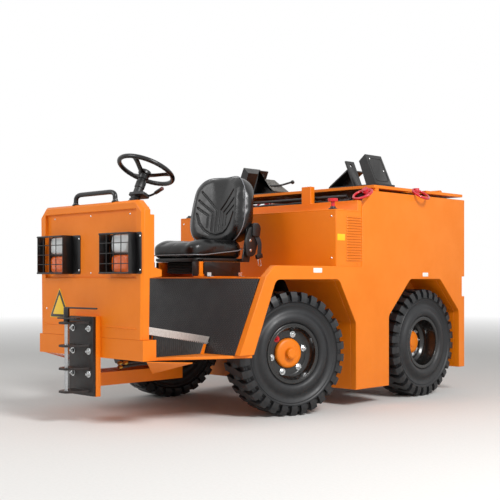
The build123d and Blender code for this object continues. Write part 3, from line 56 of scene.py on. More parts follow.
# Directions that no turning axis and no tube's path runs along
SKEW, STEEP = (0.37, 0.61, 0.7), (0.31, 0.17, 0.94)
# Signs of X on both sides, left first
SIDES = (1, -1)


def mm(values: Sequence) -> np.ndarray:
    """Turns millimetres into an array in metres."""
    return np.asarray(values, float) * MM


def linear(hex_colour: str) -> tuple:
    """Turns an sRGB hex colour into linear red, green, blue and an alpha of 1."""
    parts = (int(hex_colour[i:i + 2], 16) / 255 for i in (1, 3, 5))
    return tuple(c / 12.92 if c <= 0.04045 else ((c + 0.055) / 1.055) ** 2.4 for c in parts) + (1.0,)


def add(tree: bpy.types.NodeTree, kind: str, inputs: dict | None = None, **settings: object) -> bpy.types.Node:
    """Adds one shader node.

    Args:
        tree: the node tree that gets it.
        kind: Blender's name of the node's type.
        inputs: value or output socket for each of the node's input sockets.
        settings: the node's own properties.

    Returns:
        The new node.
    """
    node = tree.nodes.new(kind)
    for key, value in settings.items():
        setattr(node, key, value)
    for key, value in (inputs or {}).items():
        if isinstance(value, bpy.types.NodeSocket):
            tree.links.new(value, node.inputs[key])
        else:
            node.inputs[key].default_value = value
    return node


def linked(name: str, data: bpy.types.ID) -> bpy.types.Object:
    """Makes an object of a mesh, a light or a camera, and links it to the scene."""
    made = bpy.data.objects.new(name, data)
    bpy.context.scene.collection.objects.link(made)
    return made


def read_points(mesh: bpy.types.Mesh) -> np.ndarray:
    """The mesh's points as an array of n rows."""
    flat = np.empty(len(mesh.vertices) * 3)
    mesh.vertices.foreach_get("co", flat)
    return flat.reshape(-1, 3)


def write_points(mesh: bpy.types.Mesh, points: np.ndarray) -> None:
    """Puts moved points back into their mesh."""
    mesh.vertices.foreach_set("co", points.ravel())
    mesh.update()


class Relief(Enum):
    """The fine relief that a surface's making leaves in it."""

    PEEL = "sprayed or powder-coated skin"
    CAST = "rough moulded or cast skin"
    TURNED = "tool marks round a vertical axis"
    GRAIN = "leather-like embossed grain"
    STUDS = "rows of small moulded studs"
    GRIT = "sharp grains in a coating"


@dataclass(frozen=True)
class Finish:
    """One real finish: its colours, its gloss, its relief and the dirt on it."""

    name: str
    colour: str
    shade: str
    roughness: float
    metallic: float = 0.0
    relief: Relief = Relief.PEEL
    relief_mm: float = 3.0
    depth_mm: float = 0.02
    mottle: float = 0.5
    mottle_mm: float = 220.0
    dust: float = 0.0
    dust_colour: str = "#A79F92"
    coat: float = 0.0
    transmission: float = 0.0
    glow: float = 0.0
    ior: float = 1.5

    def height(self, tree: bpy.types.NodeTree, place: bpy.types.NodeSocket) -> bpy.types.NodeSocket:
        """Adds the nodes of the relief's height.

        Args:
            tree: the material's node tree.
            place: the output with the piece's own coordinates.

        Returns:
            The output with the height, from 0 to 1.
        """
        scale = 1.0 / (self.relief_mm * MM)
        if self.relief is Relief.TURNED:
            stretched = add(tree, "ShaderNodeMapping", {"Vector": place, "Scale": (0.1, 0.1, 1.0)})
            return add(tree, "ShaderNodeTexNoise", {"Vector": stretched.outputs[0], "Scale": scale}).outputs[0]
        if self.relief in (Relief.GRAIN, Relief.GRIT):
            cells = add(tree, "ShaderNodeTexVoronoi", {"Vector": place, "Scale": scale})
            return cells.outputs["Distance"]
        if self.relief is Relief.STUDS:
            # The product of a sine across and a sine up the wall, so studs stand on a square grid
            split = add(tree, "ShaderNodeSeparateXYZ", {0: place})
            waves = []
            for axis in ("X", "Z"):
                angle = add(tree, "ShaderNodeMath", {0: split.outputs[axis], 1: 2 * pi * scale},
                            operation="MULTIPLY")
                waves.append(add(tree, "ShaderNodeMath", {0: angle.outputs[0]}, operation="SINE").outputs[0])
            product = add(tree, "ShaderNodeMath", {0: waves[0], 1: waves[1]}, operation="MULTIPLY")
            return add(tree, "ShaderNodeMapRange", {0: product.outputs[0], 1: 0.1, 2: 0.5}).outputs[0]
        return add(tree, "ShaderNodeTexNoise", {"Vector": place, "Scale": scale, "Detail": 3.0}).outputs[0]

    def material(self) -> bpy.types.Material:
        """Makes the finish's material once.

        In a Map Range node, inputs 0 to 4 are the value, the range that it comes from and the one that it goes to.
        In a Mix node, 0 is the share, 2 and 3 are its numbers, and 6 and 7 its colours.

        Returns:
            The material, or the one made before.
        """
        if self.name in bpy.data.materials:
            return bpy.data.materials[self.name]
        made = bpy.data.materials.new(self.name)
        made.use_nodes = True
        made.diffuse_color = linear(self.colour)
        tree = made.node_tree
        shader = tree.nodes["Principled BSDF"]
        place = add(tree, "ShaderNodeTexCoord").outputs["Object"]
        mottle = add(tree, "ShaderNodeTexNoise",
                     {"Vector": place, "Scale": 1.0 / (self.mottle_mm * MM), "Detail": 5.0, "Roughness": 0.62})
        amount = add(tree, "ShaderNodeMapRange", {0: mottle.outputs[0], 1: 0.35, 2: 0.68, 4: self.mottle})
        colour = add(tree, "ShaderNodeMix", {0: amount.outputs[0], 6: linear(self.colour), 7: linear(self.shade)},
                     data_type="RGBA").outputs[2]
        gloss = add(tree, "ShaderNodeMapRange",
                    {0: mottle.outputs[0], 1: 0.3, 2: 0.7, 3: max(self.roughness - 0.07, 0.03),
                     4: min(self.roughness + 0.09, 1.0)}).outputs[0]
        if self.dust:
            # Dust lies on what faces up and, thrown up by the wheels, near the ground
            upward = add(tree, "ShaderNodeSeparateXYZ", {0: add(tree, "ShaderNodeNewGeometry").outputs["Normal"]})
            lying = add(tree, "ShaderNodeMapRange", {0: upward.outputs["Z"], 1: 0.2, 2: 1.0, 4: 0.8})
            height = add(tree, "ShaderNodeSeparateXYZ", {0: place})
            thrown = add(tree, "ShaderNodeMapRange", {0: height.outputs["Z"], 1: 0.7, 2: 0.05})
            both = add(tree, "ShaderNodeMath", {0: lying.outputs[0], 1: thrown.outputs[0]}, operation="MAXIMUM")
            patches = add(tree, "ShaderNodeTexNoise",
                          {"Vector": place, "Scale": 38.0, "Detail": 6.0, "Roughness": 0.7})
            patchy = add(tree, "ShaderNodeMapRange", {0: patches.outputs[0], 1: 0.4, 2: 0.72, 4: self.dust})
            share = add(tree, "ShaderNodeMath", {0: both.outputs[0], 1: patchy.outputs[0]}, operation="MULTIPLY")
            colour = add(tree, "ShaderNodeMix", {0: share.outputs[0], 6: colour, 7: linear(self.dust_colour)},
                         data_type="RGBA").outputs[2]
            gloss = add(tree, "ShaderNodeMix", {0: share.outputs[0], 2: gloss, 3: 0.85}).outputs[0]
        bump = add(tree, "ShaderNodeBump",
                   {"Height": self.height(tree, place), "Distance": self.depth_mm * MM, "Strength": 1.0})
        tree.links.new(colour, shader.inputs["Base Color"])
        tree.links.new(gloss, shader.inputs["Roughness"])
        tree.links.new(bump.outputs[0], shader.inputs["Normal"])
        for key, value in (("Metallic", self.metallic), ("IOR", self.ior), ("Coat Weight", self.coat),
                           ("Coat Roughness", 0.12), ("Transmission Weight", self.transmission)):
            shader.inputs[key].default_value = value
        if self.glow:
            shader.inputs["Emission Color"].default_value = linear(self.colour)
            shader.inputs["Emission Strength"].default_value = self.glow
        return made


# Powder coat on steel sheet: an even satin orange with faint orange peel, dusty where it lies flat
ORANGE = Finish("orange_powder_coat", "#EF7F03", "#E47300", 0.42, dust=0.04, depth_mm=0.010, ior=1.45)
# Enamel sprayed on welded steel: satin black, greyer where it is scuffed
BLACK = Finish("black_enamel_on_steel", "#0D0D0E", "#161515", 0.33, dust=0.10, mottle_mm=70.0, depth_mm=0.03)
# Powder-coated plate that drawbars rub: black worn to brown on its upper faces
WORN = Finish("worn_black_coat_on_plate", "#0B0B0B", "#2A130C", 0.42, dust=0.10, dust_colour="#4A372B", mottle=0.6,
              mottle_mm=26.0, relief=Relief.CAST, relief_mm=4.0, depth_mm=0.15)
# Solid moulded rubber: matte, nearly black, greyed by the road
TYRE = Finish("moulded_solid_rubber", "#131417", "#1D1F22", 0.47, relief=Relief.CAST, relief_mm=2.5, depth_mm=0.10,
              mottle_mm=90.0, dust=0.16, dust_colour="#5E5A54")
# Sprayed wheel steel: glossy black that shows the pressing's curves
RIM = Finish("black_wheel_enamel", "#0B0B0C", "#141414", 0.24, coat=0.3, dust=0.05, depth_mm=0.015)
# Zinc-plated fasteners: bright grey with soft highlights
ZINC = Finish("zinc_plated_steel", "#DADCDD", "#BFC1C0", 0.26, metallic=1.0, mottle_mm=9.0, relief_mm=1.5)
# Ground steel pin: bright, with fine marks round it and stains from use
STEEL = Finish("ground_steel_bar", "#BFC1C3", "#8D8E8E", 0.3, metallic=1.0, relief=Relief.TURNED, relief_mm=1.2,
               depth_mm=0.03, mottle_mm=60.0)
# Rubber mat with small moulded studs: dull black
MAT = Finish("studded_rubber_mat", "#121316", "#191B1F", 0.5, relief=Relief.STUDS, relief_mm=24.0, depth_mm=2.4,
             mottle_mm=120.0, dust=0.12, dust_colour="#5F5D5A")
# Extruded rubber: dull black, on ribs, hoses and bellows
RUBBER = Finish("extruded_rubber", "#101112", "#191A1B", 0.5, relief=Relief.CAST, relief_mm=2.0, depth_mm=0.05,
                dust=0.15)
# Rolled aluminium tread plate: bright and finely scratched
ALUMINIUM = Finish("rolled_aluminium_plate", "#DDD6D0", "#B9B0AA", 0.42, metallic=0.85, mottle_mm=14.0,
                   relief_mm=1.0, dust=0.12, dust_colour="#8A857D")
# Vinyl over foam: black with a low sheen and a fine embossed grain
VINYL = Finish("grained_black_vinyl", "#050506", "#09090A", 0.30, relief=Relief.GRAIN, relief_mm=3.2, depth_mm=0.05,
               mottle_mm=60.0)
# Vinyl piping on the seat's edges: the same vinyl, coloured grey as a painted sheen along the cord
PAINTED_SHEEN_PIPING = Finish("vinyl_piping_painted_sheen", "#77797D", "#8A8C90", 0.25, relief_mm=3.0)
# Injection-moulded polypropylene: dull dark grey with a fine texture
PLASTIC = Finish("moulded_black_polypropylene", "#0F1011", "#18191A", 0.4, relief=Relief.CAST, relief_mm=1.6,
                 depth_mm=0.04, dust=0.1)
# Soft self-skinned foam of the steering wheel and the grab handle
GRIP = Finish("self_skinned_grip_foam", "#0C0C0D", "#151413", 0.28, relief=Relief.GRAIN, relief_mm=2.2,
              depth_mm=0.03)
# Clear polycarbonate lens: glossy, so that the bowl behind it shows
LENS = Finish("clear_polycarbonate_lens", "#F8FAFA", "#EEF1F2", 0.08, transmission=0.40, depth_mm=0.0)
# Aluminised bowl behind the lens: bright and slightly rippled
REFLECTOR = Finish("aluminised_reflector", "#F6F7F8", "#ECEEEF", 0.30, metallic=0.7, relief_mm=9.0, depth_mm=0.25)
# Coloured acrylic lenses, lit a little by the light that they scatter
AMBER = Finish("orange_acrylic_lens", "#F06A0C", "#E25A08", 0.12, coat=0.5, transmission=0.15, glow=0.06,
               depth_mm=0.0)
RED_LENS = Finish("red_acrylic_lens", "#C00D12", "#9E0A0E", 0.12, coat=0.5, transmission=0.25, glow=0.06,
                  depth_mm=0.0)
# Enamelled forged steel rings and moulded ABS buttons, both signal red
RED_ENAMEL = Finish("red_enamel_on_forged_steel", "#D0122A", "#B80E22", 0.3, coat=0.4, dust=0.08)
RED_PLASTIC = Finish("moulded_red_abs", "#D3121F", "#BE0E1A", 0.28, coat=0.2)
# Knob at the stalk's end: the same ABS in a duller dark red
DARK_RED = Finish("dark_red_knob", "#4A1712", "#5B1E17", 0.35)
# Films: the blank yellow sign, its black border, and the blank white labels
YELLOW_FILM = Finish("yellow_vinyl_film", "#F6C915", "#F0BF0E", 0.35)
BLACK_FILM = Finish("black_vinyl_film", "#151515", "#1D1D1D", 0.35)
WHITE_FILM = Finish("white_vinyl_film", "#EFEFEA", "#E2E2DC", 0.35)
# Anti-slip coating on the cradles' ramps: grey grains in black binder
GRIT = Finish("anti_slip_grit_coating", "#2C2B2A", "#A39E97", 0.85, relief=Relief.GRIT, relief_mm=5.0, depth_mm=0.9,
              mottle=1.0, mottle_mm=9.0)
# Turned brass hose ends: warm yellow with a soft shine
BRASS = Finish("turned_brass", "#C9A04E", "#AE8438", 0.3, metallic=1.0, mottle_mm=8.0)
# Woven belt webbing: dull black
WEBBING = Finish("woven_polyester_webbing", "#1A1B1D", "#2A2B2E", 0.75, relief=Relief.GRAIN, relief_mm=2.0,
                 depth_mm=0.3)


def settle(piece: bpy.types.Object, finish: Finish, body: str, replaced: Sequence[str] = ()) -> None:
    """Gives a piece its material and its body, and hides the nodes that it stands for.

    Args:
        piece: the finished piece.
        finish: its finish.
        body: the CAD body that it rides on.
        replaced: the CAD nodes that it stands for.
    """
    piece.data.materials.clear()
    piece.data.materials.append(finish.material())
    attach(piece, body)
    if replaced:
        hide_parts(*replaced)
    log.info("%s: %d faces, %s, on %s", piece.name, len(piece.data.polygons), finish.name, body)


def smooth_by_angle(mesh: bpy.types.Mesh, angle_deg: float) -> None:
    """Shades a mesh smooth, with its edges sharper than the angle kept sharp."""
    mesh.shade_smooth()
    mesh.set_sharp_from_angle(angle=radians(angle_deg))


def bevel(piece: bpy.types.Object, width_mm: float) -> None:
    """Rounds a piece's sharp edges with a live bevel of two segments.

    Args:
        piece: the piece.
        width_mm: the bevel's width.
    """
    rounding = piece.modifiers.new("edge", "BEVEL")
    rounding.width = width_mm * MM
    rounding.segments = 2
    rounding.limit_method = "ANGLE"
    rounding.angle_limit = radians(SHARP_DEG)
    rounding.harden_normals = False


def lathe(profile: Sequence, steps: int) -> np.ndarray:
    """Turns a profile of (radius, height) round Z: x = r cos a, y = r sin a, z = h, with a in equal steps.

    Args:
        profile: its corners, in metres.
        steps: points round Z.

    Returns:
        One row of points for each step.
    """
    profile = np.asarray(profile, float)
    angle = np.linspace(0, 2 * pi, steps, endpoint=False)[:, None]
    radius, height = profile[:, 0], np.broadcast_to(profile[:, 1], (steps, len(profile)))
    return np.stack([radius * np.cos(angle), radius * np.sin(angle), height], -1)


def placed(points: np.ndarray, origin: Sequence, axis: Sequence, side: Sequence) -> np.ndarray:
    """Moves local points so that Z lies along axis and X as near to side as it can: o + x X + y Y + z Z.

    Args:
        points: the local points.
        origin: where their zero goes.
        axis: the direction that Z takes.
        side: the direction that X takes, as far as it is square to the axis.

    Returns:
        The moved points.
    """
    z = np.asarray(axis, float)
    z = z / np.linalg.norm(z)
    x = np.asarray(side, float)
    x = x - z * x.dot(z)
    x = x / np.linalg.norm(x)
    return np.asarray(origin, float) + points @ np.array([x, np.cross(z, x), z])


def rounded(corners: Sequence, radius: float, steps: int = 6, closed: bool = True) -> np.ndarray:
    """Rounds a path's corners P, each by the curve (1-t)^2 A + 2t(1-t) P + t^2 B between a point before and after.

    Args:
        corners: the path's points, in two or three dimensions.
        radius: how far from the corner the curve starts, at most half of the shorter run.
        steps: points on each curve.
        closed: whether the path comes back to its start.

    Returns:
        The points of the rounded path.
    """
    p = np.asarray(corners, float)
    before, after = np.roll(p, 1, 0) - p, np.roll(p, -1, 0) - p
    reach_a, reach_b = np.linalg.norm(before, axis=1), np.linalg.norm(after, axis=1)
    cut_a = np.minimum(radius, 0.49 * reach_a)[:, None] * before / np.maximum(reach_a, MERGE)[:, None]
    cut_b = np.minimum(radius, 0.49 * reach_b)[:, None] * after / np.maximum(reach_b, MERGE)[:, None]
    t = np.linspace(0, 1, steps)[None, :, None]
    bends = (1 - t) ** 2 * (p + cut_a)[:, None] + 2 * t * (1 - t) * p[:, None] + t ** 2 * (p + cut_b)[:, None]
    if closed:
        return bends.reshape(-1, p.shape[1])
    return np.vstack([p[:1], bends[1:-1].reshape(-1, p.shape[1]), p[-1:]])


def tube(path: np.ndarray, radius: float, sides: int, up: Sequence = STEEP, flat: float = 1.0) -> np.ndarray:
    """Carries a circle along a path: each ring is path + r (cos a S + flat sin a U), S and U square to the path.

    Args:
        path: the points that the middle follows.
        radius: the tube's radius, in metres.
        sides: points round it.
        up: a direction that the path never runs along.
        flat: height over width of the section.

    Returns:
        One ring of points for each point of the path.
    """
    way = np.gradient(path, axis=0)
    way /= np.linalg.norm(way, axis=1)[:, None]
    across = np.cross(way, np.asarray(up, float))
    across /= np.linalg.norm(across, axis=1)[:, None]
    over = np.cross(across, way)
    angle = np.linspace(0, 2 * pi, sides, endpoint=False)[None, :, None]
    return path[:, None] + radius * (np.cos(angle) * across[:, None] + flat * np.sin(angle) * over[:, None])


def layer(outline: np.ndarray, height: float) -> np.ndarray:
    """A flat outline, lifted to one height."""
    return np.column_stack([outline, np.full(len(outline), height)])


def slab(outline: np.ndarray, thickness: float, edge: float) -> np.ndarray:
    """Stacks a flat outline from 0 to the thickness, drawn in along its normals at both ends.

    Args:
        outline: the corners of the flat form.
        thickness: height of the stack.
        edge: how far it draws in.

    Returns:
        The stack of outlines.
    """
    way = np.roll(outline, -1, 0) - np.roll(outline, 1, 0)
    inward = np.stack([-way[:, 1], way[:, 0]], -1)
    inward /= np.maximum(np.linalg.norm(inward, axis=1), MERGE)[:, None]
    area = np.sum(outline[:, 0] * np.roll(outline[:, 1], -1) - outline[:, 1] * np.roll(outline[:, 0], -1))
    inward *= np.sign(area)
    near = 0.3 * edge
    levels = [(edge, 0.0), (near, near), (0, edge), (0, thickness - edge), (near, thickness - near),
              (edge, thickness)]
    return np.stack([layer(outline + inward * cut, z) for cut, z in levels])


def box_outline(width: float, length: float, radius: float, steps: int = 5) -> np.ndarray:
    """The outline of a rounded rectangle about the origin, in metres."""
    x, y = width / 2, length / 2
    return rounded([(-x, -y), (x, -y), (x, y), (-x, y)], radius, steps)


class Shell:
    """Surfaces gathered into one mesh."""

    def __init__(self) -> None:
        """Starts with no surface."""
        self.blocks: list = []
        self.faces: list = []
        self.count = 0

    def grid(self, points: np.ndarray, around: bool = False, along: bool = False) -> None:
        """Adds a grid of points as quads: corner (i, j) joins (i+1, j), (i+1, j+1) and (i, j+1).

        Args:
            points: array of rows, columns and 3 coordinates.
            around: joins the last row to the first.
            along: joins the last column to the first.
        """
        rows, columns = points.shape[:2]
        index = np.arange(rows * columns).reshape(rows, columns) + self.count
        if around:
            index = np.vstack([index, index[:1]])
        if along:
            index = np.hstack([index, index[:, :1]])
        quads = np.stack([index[:-1, :-1], index[1:, :-1], index[1:, 1:], index[:-1, 1:]], -1)
        self.blocks.append(points.reshape(-1, 3))
        self.faces += quads.reshape(-1, 4).tolist()
        self.count += rows * columns

    def stack(self, layers: np.ndarray) -> None:
        """Adds a closed body, a stack of like outlines with one face on the first and one on the last.

        Args:
            layers: array of outlines, points and 3 coordinates.
        """
        start = self.count
        rows, columns = layers.shape[:2]
        self.grid(layers, along=True)
        self.faces.append(list(range(start, start + columns)))
        self.faces.append(list(range(start + (rows - 1) * columns, start + rows * columns)))

    def turned(self, profile_mm: Sequence, steps: int, origin: Sequence, axis: Sequence, side: Sequence = SKEW,
               stretch: Sequence = (1, 1, 1)) -> None:
        """Adds a body turned from a profile of (radius, height), from the axis and back to it."""
        self.grid(placed(lathe(mm(profile_mm), steps) * stretch, origin, axis, side), around=True)

    def plate(self, outline: np.ndarray, thickness: float, edge: float, origin: Sequence, axis: Sequence,
              side: Sequence) -> None:
        """Adds a flat plate with softened edges, its back at the origin and its face towards the axis."""
        self.stack(placed(slab(outline, thickness, edge), origin, axis, side))

    def rod(self, start: Sequence, end: Sequence, radius: float, sides: int = 8, up: Sequence = STEEP,
            rings: int = 8, flat: float = 1.0) -> None:
        """Adds a straight round bar, as tube makes it."""
        self.stack(tube(np.linspace(start, end, rings), radius, sides, up, flat))

    def bar(self, corners: Sequence, bend: float, steps: int, radius: float, sides: int, up: Sequence = STEEP,
            flat: float = 1.0) -> None:
        """Adds a round bar that is bent at each corner of its path."""
        self.stack(tube(rounded(corners, bend, steps, closed=False), radius, sides, up, flat))

    def hoop(self, path: np.ndarray, radius: float, up: Sequence) -> None:
        """Adds a cord of eight sides whose path comes back to its start."""
        self.grid(tube(np.vstack([path, path[:1]]), radius, 8, up), along=True)

    def mesh(self, name: str) -> bpy.types.Mesh:
        """Makes a mesh of all surfaces added so far."""
        made = bpy.data.meshes.new(name)
        made.from_pydata(np.vstack(self.blocks).tolist(), [], self.faces)
        return made

    def build(self, name: str, finish: Finish, body: str, slot: str, replaced: Sequence[str] = (),
              angle_deg: float = 35.0) -> bpy.types.Object:
        """Makes the piece from all surfaces added so far.

        Args:
            name: the piece's name.
            finish: its material.
            body: the CAD body that it rides on.
            slot: the record's material slot; not used.
            replaced: the CAD nodes that it stands for.
            angle_deg: edges sharper than this stay sharp.

        Returns:
            The new object.
        """
        mesh = self.mesh(name)
        work = bmesh.new()
        work.from_mesh(mesh)
        bmesh.ops.remove_doubles(work, verts=work.verts, dist=MERGE)
        bmesh.ops.recalc_face_normals(work, faces=work.faces)
        work.to_mesh(mesh)
        work.free()
        smooth_by_angle(mesh, angle_deg)
        piece = linked(name, mesh)
        settle(piece, finish, body, replaced)
        return piece


class Head(Enum):
    """The kinds of fastener heads on the vehicle."""

    HEX = "hexagon on a washer"
    DOME = "low button head"
    NUT = "hexagon nut on a stud"


# Fasteners' profiles as (radius, height), for a size of 1
DOME = ((0, -0.1), (1, -0.1), (1, 0.08), (0.8, 0.38), (0.42, 0.55), (0, 0.6))
WASHER = ((0, -0.1), (1.5, -0.1), (1.5, 0.14), (1.4, 0.2), (0, 0.2))
HEXAGON = ((0, 0.15), (1, 0.15), (1, 0.82), (0.86, 0.95), (0, 0.95))
STUD = ((0, 0.6), (0.52, 0.6), (0.52, 1.45), (0.42, 1.6), (0, 1.6))
# The bodies that make each kind: points round it, where six give the hexagon, and its profile
HEADS = {
    Head.DOME: ((16, DOME),),
    Head.HEX: ((20, WASHER), (6, HEXAGON)),
    Head.NUT: ((20, WASHER), (6, HEXAGON), (12, STUD)),
}


def fasten(shell: Shell, origin: Sequence, axis: Sequence, size_mm: float, head: Head = Head.HEX) -> None:
    """Adds one fastener: its size is the radius over the hexagon's corners, or of the button."""
    for steps, profile in HEADS[head]:
        shell.turned(size_mm * np.array(profile), steps, origin, axis)


@dataclass
class Bodywork:
    """CAD nodes whose shape is right: each gets a merged copy with rounded edges and its finish."""

    flat_deg: float = 0.6
    weld: float = 2e-5

    @staticmethod
    def reshape(mesh: bpy.types.Mesh, moves: Sequence) -> None:
        """Moves the mesh's points that lie in a box, mirrored in X: one move after the other.

        Args:
            mesh: the copy of the node's mesh.
            moves: rows of (least and most |x|, least and most y, least and most z, then the move outwards, in y
                and in z), in metres.
        """
        points = read_points(mesh)
        for x0, x1, y0, y1, z0, z1, dx, dy, dz in moves:
            x, y, z = np.abs(points[:, 0]), points[:, 1], points[:, 2]
            inside = (x >= x0) & (x <= x1) & (y >= y0) & (y <= y1) & (z >= z0) & (z <= z1)
            outwards = np.sign(points[inside, :1])
            points[inside] += np.where([True, False, False], outwards, 1.0) * (dx, dy, dz)
        write_points(mesh, points)

    def dress(self, node: str, body: str, finish: Finish, edge_mm: float) -> None:
        """Copies a node's mesh, merges its loose triangles into whole faces, and rounds its edges.

        Args:
            node: the CAD node.
            body: the body that it rides on.
            finish: its material.
            edge_mm: width of the rounding.
        """
        mesh = frame["nodes"][node].data.copy()
        mesh.name = node + "_skin"
        work = bmesh.new()
        work.from_mesh(mesh)
        bmesh.ops.remove_doubles(work, verts=work.verts, dist=self.weld)
        bmesh.ops.dissolve_limit(work, angle_limit=radians(self.flat_deg), verts=work.verts, edges=work.edges)
        work.to_mesh(mesh)
        work.free()
        mesh.validate()
        self.reshape(mesh, RESHAPED.get(node, ()))
        smooth_by_angle(mesh, SHARP_DEG)
        piece = linked(node + "_skin", mesh)
        if edge_mm:
            bevel(piece, edge_mm)
        settle(piece, finish, body, [node])

    def build(self) -> None:
        """Dresses every node that no other class replaces."""
        riders = frame["record"]["behaviour"]["bodies"]
        bodies = {node: body for body, nodes in riders.items() for node in nodes}
        for node, (finish, edge_mm) in DRESSED_NODES.items():
            self.dress(node, bodies[node], finish, edge_mm)


# Each dressed node: its finish and the width of its rounded edges, in millimetres
DRESSED_NODES = {
    "chassis_frame": (ORANGE, 3.0), "front_axle": (BLACK, 3.0), "rear_axle": (BLACK, 3.0),
    "body_side_left": (ORANGE, 4.0), "body_side_right": (ORANGE, 4.0), "wheel_housings": (ORANGE, 1.5),
    "footwell_rear_wall": (MAT, 1.5), "seat_deck": (ORANGE, 2.0), "floor_plate": (ALUMINIUM, 2.0),
    "entry_steps": (ORANGE, 2.5), "front_cowl": (ORANGE, 3.0), "dashboard": (ORANGE, 4.0),
    "front_coupling": (WORN, 3.0), "rear_coupling": (WORN, 3.0), "hood_front_panel": (ORANGE, 2.0),
    "louvre_panels": (ORANGE, 1.5), "hood_top": (ORANGE, 2.5), "back_panel": (ORANGE, 2.0),
    "battery_block": (PLASTIC, 4.0), "lid": (ORANGE, 3.0), "deck_cradles": (BLACK, 1.5), "seat_frame": (BLACK, 2.0),
    "lifting_rings": (RED_ENAMEL, 1.5), "stop_button": (RED_PLASTIC, 2.0), "knuckle_left": (BLACK, 2.0),
    "knuckle_right": (BLACK, 2.0), "front_coupling_pin": (STEEL, 1.0), "rear_coupling_pin": (STEEL, 1.0),
    "tail_lamps": (RED_LENS, 4.0),
}

# From the middle plane, or from the ground, to past the vehicle's end
ALL = (0.0, 3.0)
# Forms that the photograph shows a little off the solids: rows as reshape takes them, in metres
RESHAPED = {
    "front_cowl": (
        (*ALL, -1.50, -1.40, *ALL, 0, -0.042, 0),
        (0.42, 0.44, -1.56, -1.52, 0.92, 1.36, 0.056, 0, 0),
        (0.48, 0.50, -1.56, -1.52, 0.925, 0.935, 0, 0, -0.010),
        (0.505, 0.56, -1.56, -1.551, 0.5, 1.35, 0.013, 0, 0),
        (0.50, 0.60, -1.56, -1.40, 1.30, 1.35, 0.006, 0, 0),
        (0.40, 0.50, -1.56, -1.551, 1.36, 1.375, 0.005, 0, 0.013),
    ),
    "dashboard": (
        (0.45, 0.55, -1.46, -1.30, 0.5, 1.4, 0.041, 0, 0), (0.14, 0.16, -1.50, -1.0, *ALL, -0.060, 0, 0),
        (*ALL, -1.46, -1.44, *ALL, 0, -0.042, 0), (*ALL, -1.43, -1.40, *ALL, 0, -0.038, 0),
        (*ALL, -1.37, -1.34, *ALL, 0, -0.035, 0), (*ALL, -1.06, -1.04, *ALL, 0, -0.072, 0),
        (*ALL, -1.50, -1.30, 1.32, 1.33, 0, 0, -0.016), (*ALL, -1.50, -1.30, 0.97, 1.0, 0, 0, -0.004),
        (*ALL, -1.50, -1.45, 0.61, 0.63, 0, 0, 0.300), (*ALL, -1.45, -1.30, 0.61, 0.63, 0, 0, 0.311),
        (*ALL, -1.50, -1.0, 1.36, 1.42, 0, 0, -0.020),
    ),
    "floor_plate": ((*ALL, -1.45, -1.42, *ALL, 0, -0.051, 0.008), (*ALL, -1.10, -0.9, *ALL, 0, 0.045, 0)),
    "entry_steps": ((0.0, 0.60, -1.10, -0.9, *ALL, 0, 0.045, 0),),
    "footwell_rear_wall": ((*ALL, -1.10, -0.7, *ALL, 0, 0.045, 0),),
    "seat_deck": ((*ALL, -0.83, -0.81, 0.90, 0.928, 0, 0.045, 0), (*ALL, -0.85, -0.835, 0.90, 1.1, 0, 0.085, 0)),
    "body_side_left": ((*ALL, -1.045, -1.03, 0.42, 0.445, 0, 0.045, 0),
                       (*ALL, -0.812, -0.80, 0.92, 0.96, 0, 0.045, 0),
                       (*ALL, -0.70, -0.69, 0.99, 1.1, 0, 0.022, 0)),
    "lid": ((*ALL, -2.0, 2.0, 1.559, 1.561, 0, 0, 0.014),),
    "stop_button": ((*ALL, -2.0, 2.0, 1.42, 1.50, 0, 0, 0.030),),
}
RESHAPED["body_side_right"] = RESHAPED["body_side_left"]


